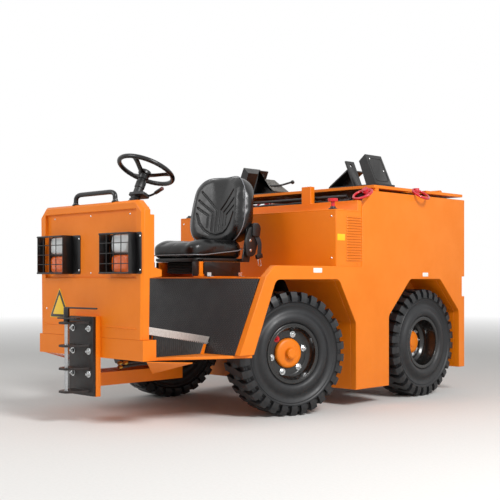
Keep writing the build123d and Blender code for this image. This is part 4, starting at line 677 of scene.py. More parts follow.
@dataclass
class Wheel:
    """One wheel: solid tyre with its lugs, pressed rim, hub and nuts, made with its outer face towards +X."""

    place: str
    centre: tuple
    turn_deg: float
    nut_circle_mm: float
    nut_count: int
    nut_turn_deg: float
    red_nut: int
    front: bool
    radius_mm: float = 415.0
    half_width_mm: float = 125.0
    lugs: int = 30
    groove_mm: float = 24.0

    @property
    def body(self) -> str:
        """The body that the wheel's pieces ride on."""
        return "wheel_" + self.place

    def put(self, local: np.ndarray) -> np.ndarray:
        """Takes points with the wheel's axle on X to the wheel's own place."""
        a = radians(self.turn_deg)
        turn = np.array([[cos(a), sin(a), 0], [-sin(a), cos(a), 0], [0, 0, 1]])
        return np.asarray(self.centre) + local @ turn

    def spun(self, profile_mm: Sequence, steps: int) -> np.ndarray:
        """Turns a profile of (along the axle, radius) in millimetres round it: y = r cos a, z = r sin a.

        Args:
            profile_mm: the profile's corners.
            steps: points round the axle.

        Returns:
            The points at the wheel's own place.
        """
        profile = mm(profile_mm)
        angle = np.linspace(0, 2 * pi, steps, endpoint=False)[:, None]
        x, r = profile[:, 0], profile[:, 1]
        points = np.stack([np.broadcast_to(x, (steps, len(x))), r * np.cos(angle), r * np.sin(angle)], -1)
        return self.put(points)

    def tyre(self) -> None:
        """Builds the tyre.

        The section is a closed loop of (x, r). Each point's angle is (lug + share - kink) x pitch, where kink
        grows with the distance from the middle, so the grid's lines follow the grooves' walls. Inside a groove
        the tread drops by the groove's depth and the shoulder moves in. The inner side's grooves stand half a
        pitch on.
        """
        w, r = self.half_width_mm, self.radius_mm
        half = [(100.0, 188.0), (100.3, 203.5), (106, 207), (115, 213), (122.0, 223), (124.6, 236), (123.5, 250),
                (118, 263), (110, 274), (103.5, 285), (101.5, 296), (103.0, 306), (107, 315), (112.0, 322),
                (113.4, 328), (110.0, 332), (111.0, 338), (118, 345), (w, 348), (w, 362), (w, 381), (w - 3.5, 388),
                (w - 14, r - 2), (w - 22, r), (w - 45, r), (w - 66, r), (w - 88, r), (w - 100, r), (w - 112, r)]
        loop = np.array(half + [(-x, rr) for x, rr in reversed(half)])
        x, radius = loop[:, 0], loop[:, 1]
        wall, mouth = 0.022, 0.185
        edges = np.array([-mouth - wall, -mouth, mouth, mouth + wall])
        share = np.sort(np.concatenate([edges, edges + 0.5, [0.0, 0.25, 0.5, 0.75 - 0.02]]))
        lug = np.arange(self.lugs)[:, None] + share[None, :]
        # The kink moves the groove's inner half on by a fifth of a pitch between two places across the tread
        reach = np.abs(x)
        kink = 0.2 * np.clip((72 - reach) / 26, 0, 1) * (radius > 385)
        angle = (lug.reshape(-1, 1) - kink[None, :] * np.sign(x)[None, :]) * 2 * pi / self.lugs
        phase = np.broadcast_to(share[None, :], (self.lugs, len(share))).reshape(-1, 1)
        centre = np.where(x > 0, 0.0, 0.5)[None, :]
        away = np.abs((phase - centre + 0.5) % 1.0 - 0.5)
        in_groove = np.clip((mouth + wall - away) / wall, 0, 1)
        on_tread = np.clip((radius - 352) / 12, 0, 1) * np.clip((reach - 22) / 6, 0, 1)
        drop = in_groove * on_tread[None, :]
        on_shoulder = np.clip((radius - 349) / 12, 0, 1) * np.clip((reach - (w - 16)) / 4, 0, 1)
        new_radius = radius[None, :] - self.groove_mm * drop * np.clip((radius - 375) / 26, 0, 1)[None, :]
        new_x = x[None, :] - np.sign(x)[None, :] * 22.0 * in_groove * on_shoulder[None, :]
        points = mm(np.stack([new_x, new_radius * np.cos(angle), new_radius * np.sin(angle)], -1))
        shell = Shell()
        shell.grid(self.put(points), around=True, along=True)
        shell.build("tyre_with_lugs_" + self.place, TYRE, self.body, "tyre", ["tyre_" + self.place], angle_deg=42)

    def rim(self) -> None:
        """Builds the pressed rim, a closed section turned round the axle, with rounded corners."""
        disc = 22.0 if self.front else -40.0
        hole = 100.3 if self.front else 87.3
        section = [(-100.3, 187.5), (100.3, 187.5), (100.3, 203), (109.3, 203), (109.3, 184), (101, 178.5),
                   (disc + 52, 176.0), (disc + 34, 169.5), (disc + 14, 150.0), (disc + 14, hole), (disc, hole),
                   (disc, 142.5), (disc + 2, 178.5), (-109.3, 178.5), (-109.3, 203), (-100.3, 203)]
        shell = Shell()
        shell.grid(self.spun(rounded(section, 5.0, 4), 96), around=True, along=True)
        # A raised bead on the outer face, where the lock ring sits
        bead = [(101, 178.6), (104, 176.2), (107.5, 176.2), (109.6, 179.5), (109.6, 184), (106, 186)]
        shell.grid(self.spun(rounded(bead, 2.0, 3), 96), around=True, along=True)
        shell.build("pressed_rim_" + self.place, RIM, self.body, "rim_paint", ["rim_" + self.place])

    def hub(self) -> None:
        """Builds the hub: body and flange behind the disc, domed boss in front and its end cap."""
        if self.front:
            section = [(-38.3, 0), (-38.3, 78), (5.7, 78), (5.7, 150), (21.7, 150), (21.7, 100), (46, 100),
                       (52, 97.5), (58, 90), (61.5, 76), (62.5, 52), (64, 43), (68, 39), (90, 37.5), (95, 35),
                       (96, 30), (96, 14), (93.5, 12), (93.5, 0)]
        else:
            section = [(-100.3, 0), (-100.3, 78), (-56.3, 78), (-56.3, 150), (-40.3, 150), (-40.3, 87), (-6, 87),
                       (-2, 86), (7.0, 71), (8.0, 68), (8.0, 41), (13.0, 39.5), (14.0, 36), (14.0, 0)]
        shell = Shell()
        shell.grid(self.spun(section, 80), around=True)
        if self.front:
            # Six flats round the cap, as on its real nut
            cap = lathe(mm([(0, 0), (33, 0), (33, 6), (30, 8), (0, 8)]), 6)
            shell.grid(self.put(placed(cap, (0.092, 0, 0), LEFT, UP)), around=True)
        shell.build("domed_hub_" + self.place, ORANGE, self.body, "orange_paint", ["hub_" + self.place],
                    angle_deg=30)

    def nuts(self) -> None:
        """Adds the wheel nuts on their circle, one of them marked red."""
        plain, marked = Shell(), Shell()
        face = 36.0 if self.front else -26.0
        size = 15.0 if self.front else 12.5
        outward = self.put(np.array(LEFT)) - np.asarray(self.centre)
        for number in range(self.nut_count):
            a = radians(self.nut_turn_deg) + 2 * pi * number / self.nut_count
            local = mm([face, self.nut_circle_mm * cos(a), self.nut_circle_mm * sin(a)])
            fasten(marked if number == self.red_nut else plain, self.put(local), outward, size, Head.NUT)
        plain.build("wheel_nuts_" + self.place, ZINC, self.body, "steel", angle_deg=30)
        marked.build("marked_nut_" + self.place, RED_PLASTIC, self.body, "red_plastic", angle_deg=30)

    def build(self) -> None:
        """Builds all the wheel's pieces."""
        self.tyre()
        self.rim()
        self.hub()
        self.nuts()


WHEELS = (
    Wheel("front_left", (0.669037, -0.417293, 0.415), -15.0, 131.0, 6, 12.0, 2, True),
    Wheel("front_right", (-0.669037, -0.326707, 0.415), 165.0, 131.0, 6, 12.0, 2, True),
    Wheel("rear_left", (0.665, 1.070, 0.415), 0.0, 111.0, 10, 5.0, 6, False),
    Wheel("rear_right", (-0.665, 1.070, 0.415), 180.0, 111.0, 10, 5.0, 6, False),
)


@dataclass
class LampCluster:
    """Headlamp and turn lamp, the wire guard before them and a black plate behind as painted shade in the recess,
    left and right of the cowl.
    """

    middle: float = 0.334
    face_y: float = -1.530
    cowl_y: float = -1.5523
    guard_front: float = -1.6125
    box: tuple = (0.200, 0.492)
    flange: tuple = (0.112, 0.545)
    bottom: float = 0.946
    top: float = 1.199
    sheet: float = 0.004
    rail: float = 0.006
    wire: float = 0.0028
    wire_inset: float = 0.004
    squares: int = 4
    lens_width: float = 0.172
    lens_steps: tuple = ((0.0, 0.0), (0.014, 0.003), (0.026, 0.007), (0.0315, 0.013), (0.034, 0.026))
    bowl_mm: tuple = ((0, 3), (22, 4), (42, 8), (53, 15), (56, 20), (57, 20), (54, 13), (42, 6), (0, 1))
    bulb_mm: tuple = ((0, 5), (8, 5), (9, 13), (6, 17), (0, 18))
    # The black plate behind the lamps is painted shade in the recess behind the guard
    back_plate: tuple = (0.270, 0.236)
    back_plate_at: tuple = (0.340, 1.0725)

    @property
    def plates(self) -> tuple:
        """A guard's two plates, inner and outer: place across, end of the flange, and face that it sits on."""
        return ((self.box[0], self.flange[0], self.face_y - 0.0003), (self.box[1], self.flange[1], self.cowl_y))

    def seat(self, side: int, z: float) -> tuple:
        """Where a lamp sits on the recess: its origin, the way that it faces and the way across it."""
        return (side * self.middle, self.face_y, z), FRONT, LEFT

    def lens(self, side: int, z: float, height: float) -> np.ndarray:
        """A rounded lens body, its outline stacked forwards from the recess and drawn in towards its front.

        Args:
            side: 1 for the left lamp, -1 for the right one.
            z: where its middle stands, in metres.
            height: its own height, in metres.

        Returns:
            The stack of outlines.
        """
        size = np.array([self.lens_width, height])
        outline = box_outline(*size, 0.028)
        layers = [layer(outline * (1 - draw * 2 / size), depth) for depth, draw in self.lens_steps]
        return placed(np.stack(layers), *self.seat(side, z))

    def bezel(self, shell: Shell, side: int, z: float, height: float) -> None:
        """Adds the black rim round a lens, a cord on its outline."""
        outline = box_outline(self.lens_width + 0.004, height + 0.006, 0.032)
        shell.hoop(placed(layer(outline, 0.014), *self.seat(side, z)), 0.004, up=(0, 1, 0.01))

    def guard_plates(self, shell: Shell, side: int) -> None:
        """Adds a guard's side plates and their flanges: the inner one in the recess, the outer on the cowl's rim.

        Args:
            shell: the shell that gets them.
            side: 1 for the left guard, -1 for the right one.
        """
        height, z = self.top - self.bottom, (self.top + self.bottom) / 2
        for x, end, seat in self.plates:
            reach = seat - self.guard_front
            shell.plate(box_outline(reach, height, 0.006), self.sheet, 0.001,
                        (side * x - self.sheet / 2, seat - reach / 2, z), LEFT, REAR)
            shell.plate(box_outline(abs(end - x), height, 0.010), self.sheet, 0.001,
                        (side * (x + end) / 2, seat, z), FRONT, LEFT)

    def guard_wires(self, shell: Shell, side: int) -> None:
        """Adds a guard's welded rails and wires, each a tube along its path.

        The level ones run from plate to plate, the upright ones from the cowl forwards, down and back.

        Args:
            shell: the shell that gets them.
            side: 1 for the left guard, -1 for the right one.
        """
        x0, x1 = side * self.box[0], side * self.box[1]
        high, low = self.top - self.wire_inset, self.bottom + self.wire_inset
        for z in (self.bottom + self.rail, self.top - self.rail):
            shell.rod((x0, self.guard_front, z), (x1, self.guard_front, z), self.rail, up=UP)
        for z in np.linspace(self.bottom, self.top, self.squares + 1)[1:-1]:
            y = self.guard_front + self.wire
            shell.rod((x0, y, z), (x1, y, z), self.wire, up=UP)
        for x in np.linspace(x0, x1, self.squares + 1)[1:-1]:
            corners = [(x, self.cowl_y, high), (x, self.guard_front, high), (x, self.guard_front, low),
                       (x, self.cowl_y, low)]
            shell.bar(corners, 0.014, 4, self.wire, 8, up=LEFT)
        for share in (0.33, 0.67):
            y = self.cowl_y - share * (self.cowl_y - self.guard_front)
            for z in (high, low):
                shell.rod((x0, y, z), (x1, y, z), self.wire, up=UP)

    def guard(self, side: int) -> None:
        """Builds one guard and its four bolts.

        Args:
            side: 1 for the left guard, -1 for the right one.
        """
        name = "left" if side > 0 else "right"
        shell, bolts = Shell(), Shell()
        self.guard_plates(shell, side)
        self.guard_wires(shell, side)
        shell.build("wire_guard_" + name, BLACK, "body", "black_paint", ["lamp_guards"] if side > 0 else ())
        for x, (_, _, seat) in zip((self.flange[0] + 0.013, self.flange[1] - 0.013), self.plates):
            for z in (self.bottom + 0.024, self.top - 0.024):
                fasten(bolts, (side * x, seat - self.sheet, z), FRONT, 7.5, Head.DOME)
        bolts.build("guard_bolts_" + name, ZINC, "body", "steel")

    def build(self) -> None:
        """Builds both clusters."""
        for title, z, height, finish, slot in (("headlamps", 1.133, 0.116, LENS, "lamp_glass"),
                                               ("indicators", 1.010, 0.114, AMBER, "amber_plastic")):
            lenses, bezels, bowls = Shell(), Shell(), Shell()
            for side in SIDES:
                lenses.stack(self.lens(side, z, height))
                self.bezel(bezels, side, z, height)
                bowls.turned(self.bowl_mm, 40, *self.seat(side, z), stretch=(1.3, 0.92, 1))
                bowls.turned(self.bulb_mm, 16, *self.seat(side, z))
            lenses.build(title + "_lenses", finish, "body", slot, [title], angle_deg=50)
            bezels.build(title + "_bezels", PLASTIC, "body", "black_plastic")
            bowls.build(title + "_reflectors", REFLECTOR, "body", "steel")
        # Black plates behind the lamps: painted shade in the recesses behind the guards
        plates = Shell()
        x, z = self.back_plate_at
        for side in SIDES:
            self.guard(side)
            plates.plate(box_outline(*self.back_plate, 0.008), 0.003, 0.0008, (side * x, self.face_y + 0.0005, z),
                         FRONT, LEFT)
        plates.build("lamp_recess_painted_shade_plates", BLACK, "body", "black_paint")


@dataclass
class FrontCowl:
    """What the cowl carries: grab handle, the blank sign, bolts and the long beads pressed into its face."""

    y: float = -1.552
    recess_depth: float = 0.022
    handle_y: float = -1.521
    handle_foot: float = 1.3963
    handle_rise: float = 0.066
    feet: tuple = (-0.178, 0.244)
    collar_mm: tuple = ((0, 0), (24, 0), (24, 4), (18, 8), (14.5, 22), (0, 22))
    sign_at: tuple = (-0.318, 0.724)
    film: float = 0.0009

    def handle(self) -> None:
        """The grab handle: a thick grip on a bent tube, with a flange on each foot."""
        shell, bolts = Shell(), Shell()
        y, low, high = self.handle_y, self.handle_foot, self.handle_foot + self.handle_rise
        right, left = self.feet
        corners = [(right, y, low), (right + 0.004, y, high), (left - 0.004, y, high), (left, y, low)]
        shell.bar(corners, 0.064, 14, 0.0155, 16, up=REAR)
        for x in self.feet:
            shell.turned(self.collar_mm, 24, (x, y, low), UP)
            for step in (-0.019, 0.019):
                fasten(bolts, (x, y + step, low + 0.004), UP, 3.5, Head.DOME)
        shell.build("bent_grab_handle", GRIP, "body", "black_paint", ["grab_handle"])
        bolts.build("handle_bolts", ZINC, "body", "steel")

    def sign(self) -> None:
        """The blank triangular sign: a yellow film, a black one on it and a smaller yellow one on that."""
        x, z = self.sign_at
        films = (("sign_margin", 0.132, YELLOW_FILM, "amber_plastic"),
                 ("sign_border", 0.123, BLACK_FILM, "black_plastic"),
                 ("sign_field", 0.088, YELLOW_FILM, "amber_plastic"))
        for number, (name, reach, finish, slot) in enumerate(films):
            corners = [(reach * sin(a), reach * cos(a)) for a in (0, 2 * pi / 3, 4 * pi / 3)]
            shell = Shell()
            shell.plate(rounded(corners, 0.012, 5)[::-1], self.film, 0.0003,
                        (x, self.y - 0.0003 - self.film * number, z), FRONT, LEFT)
            shell.build(name, finish, "body", slot)

    def bolts(self) -> None:
        """Button heads on the face of the recess and one on the cowl's own face."""
        shell = Shell()
        recess = self.y + self.recess_depth
        for x, y, z in ((0.0, recess, 0.952), (-0.405, recess, 1.315), (0.405, recess, 1.315),
                        (0.0, recess, 1.318), (-0.47, self.y, 0.715)):
            fasten(shell, (x, y, z), FRONT, 6.5, Head.DOME)
        shell.build("cowl_bolts", ZINC, "body", "steel")

    def pressing(self) -> None:
        """The long shallow bead under the recess, pressed into the cowl's face on each side of the coupling."""
        shell = Shell()
        y = self.y + 0.001
        for side in SIDES:
            shell.rod((side * 0.150, y, 0.618), (side * 0.49, y, 0.612), 0.0052, 10, UP, rings=24, flat=0.9)
        shell.build("cowl_pressed_beads", ORANGE, "body", "orange_paint")

    def build(self) -> None:
        """Builds the cowl's pieces."""
        self.handle()
        self.sign()
        self.bolts()
        self.pressing()


@dataclass
class TowCoupling:
    """One coupling's fasteners, the pin's head with its lever, and the lock plate on the top jaw."""

    end: str
    sign: int
    face_y: float = 1.5883
    block: float = 0.020
    pin_y: float = 1.7163
    jaw_top: float = 0.645
    bolt_x: float = 0.085
    bolt_rows: tuple = (0.313, 0.457, 0.601)
    knob_mm: tuple = ((0, 0.3), (18, 0.3), (19, 4), (19, 86), (17, 91), (13, 93), (0, 93))
    lock_plate: tuple = ((-0.078, -0.024), (0.120, -0.024), (0.120, 0.026), (-0.078, 0.026))

    def build(self) -> None:
        """Builds the bolts on the block, then the pin's head with its lever and the lock plate."""
        bolts, head = Shell(), Shell()
        for x in (-self.bolt_x, self.bolt_x):
            for z in self.bolt_rows:
                fasten(bolts, (x, self.sign * (self.face_y + self.block), z), (0, self.sign, 0), 14.5, Head.NUT)
        bolts.build(self.end + "_block_bolts", ZINC, "body", "steel", angle_deg=30)
        y, z = self.sign * self.pin_y, self.jaw_top
        head.turned(self.knob_mm, 28, (0, y, z + 0.001), UP)
        head.rod((0.012, y, z + 0.089), (0.318, y, z + 0.090), 0.0052, 12, rings=16)
        head.plate(rounded(self.lock_plate, 0.014, 5), 0.010, 0.002, (0, y, z + 0.018), UP, LEFT)
        head.build(self.end + "_pin_head", BLACK, self.end + "_coupling_pin", "black_paint")


@dataclass
class Cab:
    """The driver's place: floor and its edges, riser, instruments, pedals, steering wheel and column."""

    floor_front: tuple = (-1.489, 0.626)
    floor_rear: tuple = (-0.953, 0.540)
    floor_half: float = 0.5
    riser_x: float = 0.4962
    ribs: int = 26
    lozenge_pitch: float = 0.030
    lozenge_columns: int = 33
    console_top: float = 1.3964
    console_y: float = -1.285
    key_mm: tuple = ((0, 0), (15, 0), (15, 5), (11, 9), (4, 9), (3.4, 22), (0, 22))
    pedal_y: float = -1.205
    pedal_z: float = 0.690
    pedal_lean: tuple = (0.72, 0.69)
    wheel_centre: tuple = (0.0, -1.076, 1.650)
    wheel_tilt_deg: float = 25.0
    wheel_radius: float = 0.190
    spoke_turns_deg: tuple = (28.0, 165.0, 292.0)
    boss_mm: tuple = ((0, -69.5), (34, -69.5), (36, -60), (37, -40), (44, -34), (45, -20), (43, -12), (36, -6),
                      (20, -3), (0, -2))
    column_mm: tuple = ((0, 60), (30, 60), (30, 158), (34, 162), (34, 206), (30, 212), (28, 229), (0, 229))
    stalk: tuple = ((0.020, -1.150, 1.470), (0.060, -1.120, 1.468), (0.110, -1.117, 1.471), (0.205, -1.126, 1.497))
    grip_at: tuple = (0.150, -1.121, 1.482)
    grip_way: tuple = (0.0975, -0.0100, 0.0290)
    grip_mm: tuple = ((0, 0), (9, 0), (12, 6), (12.5, 30), (12.5, 74), (0, 74))
    tip_mm: tuple = ((0, 0), (12.7, 0), (12.7, 14), (9, 19), (0, 20.5))

    @property
    def floor_run(self) -> tuple:
        """The floor's length along Y and its fall, from its front edge to its rear one."""
        return self.floor_rear[0] - self.floor_front[0], self.floor_front[1] - self.floor_rear[1]

    @property
    def wheel_axis(self) -> np.ndarray:
        """The steering wheel's axis, which points up and back."""
        tilt = radians(self.wheel_tilt_deg)
        return np.array([0.0, sin(tilt), cos(tilt)])

    def tread(self) -> None:
        """Raised lozenges on the floor, each of cos^2 height on a lens-shaped plan, turned each way in turn."""
        u, v = np.meshgrid(np.linspace(-1, 1, 7), np.linspace(-1, 1, 4), indexing="ij")
        length, width, height = 0.0135, 0.0034, 0.0013
        across, ahead = u * length, v * width * (1 - u ** 2)
        rise = height * (1 - u ** 2) * np.cos(v * pi / 2) ** 2
        (front_y, front_z), (run, fall) = self.floor_front, self.floor_run
        slope = atan2(-fall, run)
        shell = Shell()
        for i in range(int(hypot(run, fall) / self.lozenge_pitch)):
            for j in range(self.lozenge_columns):
                a = radians(45 if (i + j) % 2 else -45)
                x = across * cos(a) - ahead * sin(a) + (j - self.lozenge_columns // 2) * self.lozenge_pitch
                down = across * sin(a) + ahead * cos(a) + (i + 0.6) * self.lozenge_pitch
                shell.grid(np.stack([x, front_y + down * cos(slope) - rise * sin(slope),
                                     front_z + down * sin(slope) + rise * cos(slope)], -1))
        shell.build("tread_plate_lozenges", ALUMINIUM, "body", "tread_plate")

    def riser(self) -> None:
        """Ribbed rubber on the entry risers: a sheet whose face swells as a squared cosine once every rib."""
        shell = Shell()
        steps = 8
        y = np.linspace(-1.4275, -1.003, self.ribs * steps + 1)
        swell = 0.0045 * np.cos(np.arange(len(y)) * pi / steps) ** 2
        for side in SIDES:
            face = np.column_stack([side * (self.riser_x + 0.0012 + swell), y])
            back = np.column_stack([np.full(2, side * self.riser_x), y[[-1, 0]]])
            plan = np.vstack([face, back])
            share = (plan[:, 1] - self.floor_front[0]) / self.floor_run[0]
            # Its foot comes forwards by 35 mm towards the rear, and its head follows the floor
            foot = plan - np.outer(np.clip((plan[:, 1] + 1.20) / 0.20, 0, 1), (0, 0.035))
            shell.stack(np.stack([layer(foot, 0.4335), np.column_stack([plan, 0.577 - 0.079 * share])]))
        shell.build("ribbed_riser_sheets", RUBBER, "body", "rubber_mat", angle_deg=60)

    def edge_trim(self) -> None:
        """Two rows of lozenges on the outer face of the aluminium angle along each side edge of the floor."""
        shell = Shell()
        u, v = np.meshgrid(np.linspace(-1, 1, 6), np.linspace(-1, 1, 4), indexing="ij")
        p, q = u * 0.010, v * 0.0032 * (1 - u ** 2)
        (front_y, front_z), (run, fall) = self.floor_front, self.floor_run
        for side in SIDES:
            x = side * (self.floor_half + 0.0012 * (1 - u ** 2) * np.cos(v * pi / 2) ** 2)
            for i in range(26):
                for j in range(2):
                    a = radians(45 if (i + j) % 2 else -45)
                    y = -1.478 + i * 0.0203 + p * cos(a) - q * sin(a)
                    drop = -0.0125 - 0.0225 * j + p * sin(a) + q * cos(a)
                    shell.grid(np.stack([x, y, front_z - fall * (y - front_y) / run + drop], -1))
        shell.build("tread_edge_lozenges", ALUMINIUM, "body", "tread_plate")

    def panel(self) -> None:
        """The console's instruments: a dark display, four rockers and a key switch."""
        shell = Shell()
        shell.plate(box_outline(0.104, 0.066, 0.010), 0.012, 0.003, (0.0, -1.36, self.console_top),
                    (0, 0.12, 1), LEFT)
        for x in (-0.062, -0.034, 0.034, 0.062):
            shell.plate(box_outline(0.020, 0.034, 0.003), 0.009, 0.003, (x, self.console_y, self.console_top),
                        (0, 0.1, 1), LEFT)
        shell.turned(self.key_mm, 24, (0.0, self.console_y, self.console_top), UP)
        shell.build("console_instruments", PLASTIC, "body", "black_plastic")

    def pedals(self) -> None:
        """Two rubber pedals with level ribs, on steel arms from the dashboard's foot."""
        pads, arms = Shell(), Shell()
        back, up = self.pedal_lean
        for x, width in ((-0.05, 0.105), (-0.235, 0.075)):
            centre = np.array([x, self.pedal_y, self.pedal_z])
            pads.plate(box_outline(width, 0.085, 0.012), 0.014, 0.004, centre, (0, back, up), LEFT)
            for step in np.linspace(-0.030, 0.030, 5):
                y, z = self.pedal_y + back * 0.0145 - up * step, self.pedal_z + up * 0.0145 + back * step
                pads.rod((x - width * 0.4, y, z), (x + width * 0.4, y, z), 0.003, rings=5)
            arms.bar([centre, (x, -1.235, 0.745), (x, -1.393, 0.945)], 0.05, 8, 0.009, 12, up=LEFT)
        pads.build("pedal_pads", RUBBER, "body", "rubber_mat")
        arms.build("pedal_arms", BLACK, "body", "black_paint")

    def spoke(self, turn_deg: float) -> np.ndarray:
        """One wide spoke: an eight-sided section carried from boss to rim while it rises along 3t^2 - 2t^3.

        Args:
            turn_deg: its direction round the wheel.

        Returns:
            The stack of sections, about the wheel's centre.
        """
        t = np.linspace(0, 1, 14)[:, None]
        section = np.array([(1, 0), (0.8, 0.7), (0, 1), (-0.8, 0.7), (-1, 0), (-0.8, -0.7), (0, -1), (0.8, -0.7)])
        reach = 0.020 + t * (self.wheel_radius - 0.022)
        rise = -0.034 + 0.034 * (3 * t ** 2 - 2 * t ** 3)
        half = 0.027 - 0.007 * np.sin(t * pi)
        local = np.stack([np.broadcast_to(reach, (14, 8)), half * section[:, 0],
                          rise + 0.0068 * section[:, 1]], -1)
        c, s = cos(radians(turn_deg)), sin(radians(turn_deg))
        return local @ np.array([[c, s, 0], [-s, c, 0], [0, 0, 1]])

    def steering_wheel(self) -> None:
        """The steering wheel: rim with finger waves, three wide spokes that rise to it, and a domed cap.

        The rim is a ring of radius R + g cos b and height g sin b, where the grip g swells a little forty times
        round, on its underside alone.
        """
        shell = Shell()
        a = np.linspace(0, 2 * pi, 120, endpoint=False)[:, None]
        b = np.linspace(0, 2 * pi, 16, endpoint=False)[None, :]
        grip = 0.0156 + 0.0005 * np.cos(40 * a) * (np.sin(b) < 0)
        ring = self.wheel_radius + grip * np.cos(b)
        rim = np.stack([ring * np.cos(a), ring * np.sin(a), np.broadcast_to(grip * np.sin(b), ring.shape)], -1)
        shell.grid(placed(rim, self.wheel_centre, self.wheel_axis, LEFT), around=True, along=True)
        for turn in self.spoke_turns_deg:
            shell.stack(placed(self.spoke(turn), self.wheel_centre, self.wheel_axis, LEFT))
        shell.turned(self.boss_mm, 40, self.wheel_centre, self.wheel_axis, LEFT)
        shell.build("three_spoke_wheel", GRIP, "steering_wheel", "black_plastic", ["steering_wheel"], angle_deg=40)

    def column(self) -> None:
        """The column with a collar under the wheel, its clamp and bolts, the stalk, and the folded bellows below.

        Column and bellows are profiles turned round the wheel's axis, the stalk is a tube along a bent path.
        """
        centre, axis = np.asarray(self.wheel_centre), self.wheel_axis
        base, clamp = centre - axis * 0.300, centre - axis * 0.196
        shell, bellows, bolts = Shell(), Shell(), Shell()
        shell.turned(self.column_mm, 40, base, axis)
        shell.plate(box_outline(0.150, 0.076, 0.020), 0.022, 0.003, clamp + (0.030, 0, 0) - axis * 0.011,
                    axis, LEFT)
        shell.bar(self.stalk, 0.03, 8, 0.0075, 12)
        shell.build("column_with_stalk", PLASTIC, "body", "black_plastic", ["steering_column"])
        folds = [(49 - 1.9 * n - (5 if n % 2 else 0), 12 + 9 * n) for n in range(11)]
        bellows.turned([(0, 0), *folds, (30, 108), (0, 108)], 40, base, axis)
        bellows.build("column_bellows", RUBBER, "body", "rubber_mat", angle_deg=25)
        for x in (-0.032, 0.092):
            fasten(bolts, clamp + (x, 0, 0) + axis * 0.011, axis, 6.5)
        bolts.build("column_clamp_bolts", ZINC, "body", "steel")

    def stalk_knob(self) -> None:
        """The stalk's thick grip and its dark red end."""
        grip, tip = Shell(), Shell()
        start, way = np.array(self.grip_at), np.array(self.grip_way)
        way = way / np.linalg.norm(way)
        grip.turned(self.grip_mm, 24, start, way)
        tip.turned(self.tip_mm, 24, start + way * 0.0742, way)
        grip.build("stalk_grip", GRIP, "body", "black_plastic")
        tip.build("stalk_tip", DARK_RED, "body", "red_plastic")

    def build(self) -> None:
        """Builds the driver's place."""
        self.tread()
        self.riser()
        self.edge_trim()
        self.panel()
        self.pedals()
        self.steering_wheel()
        self.column()
        self.stalk_knob()


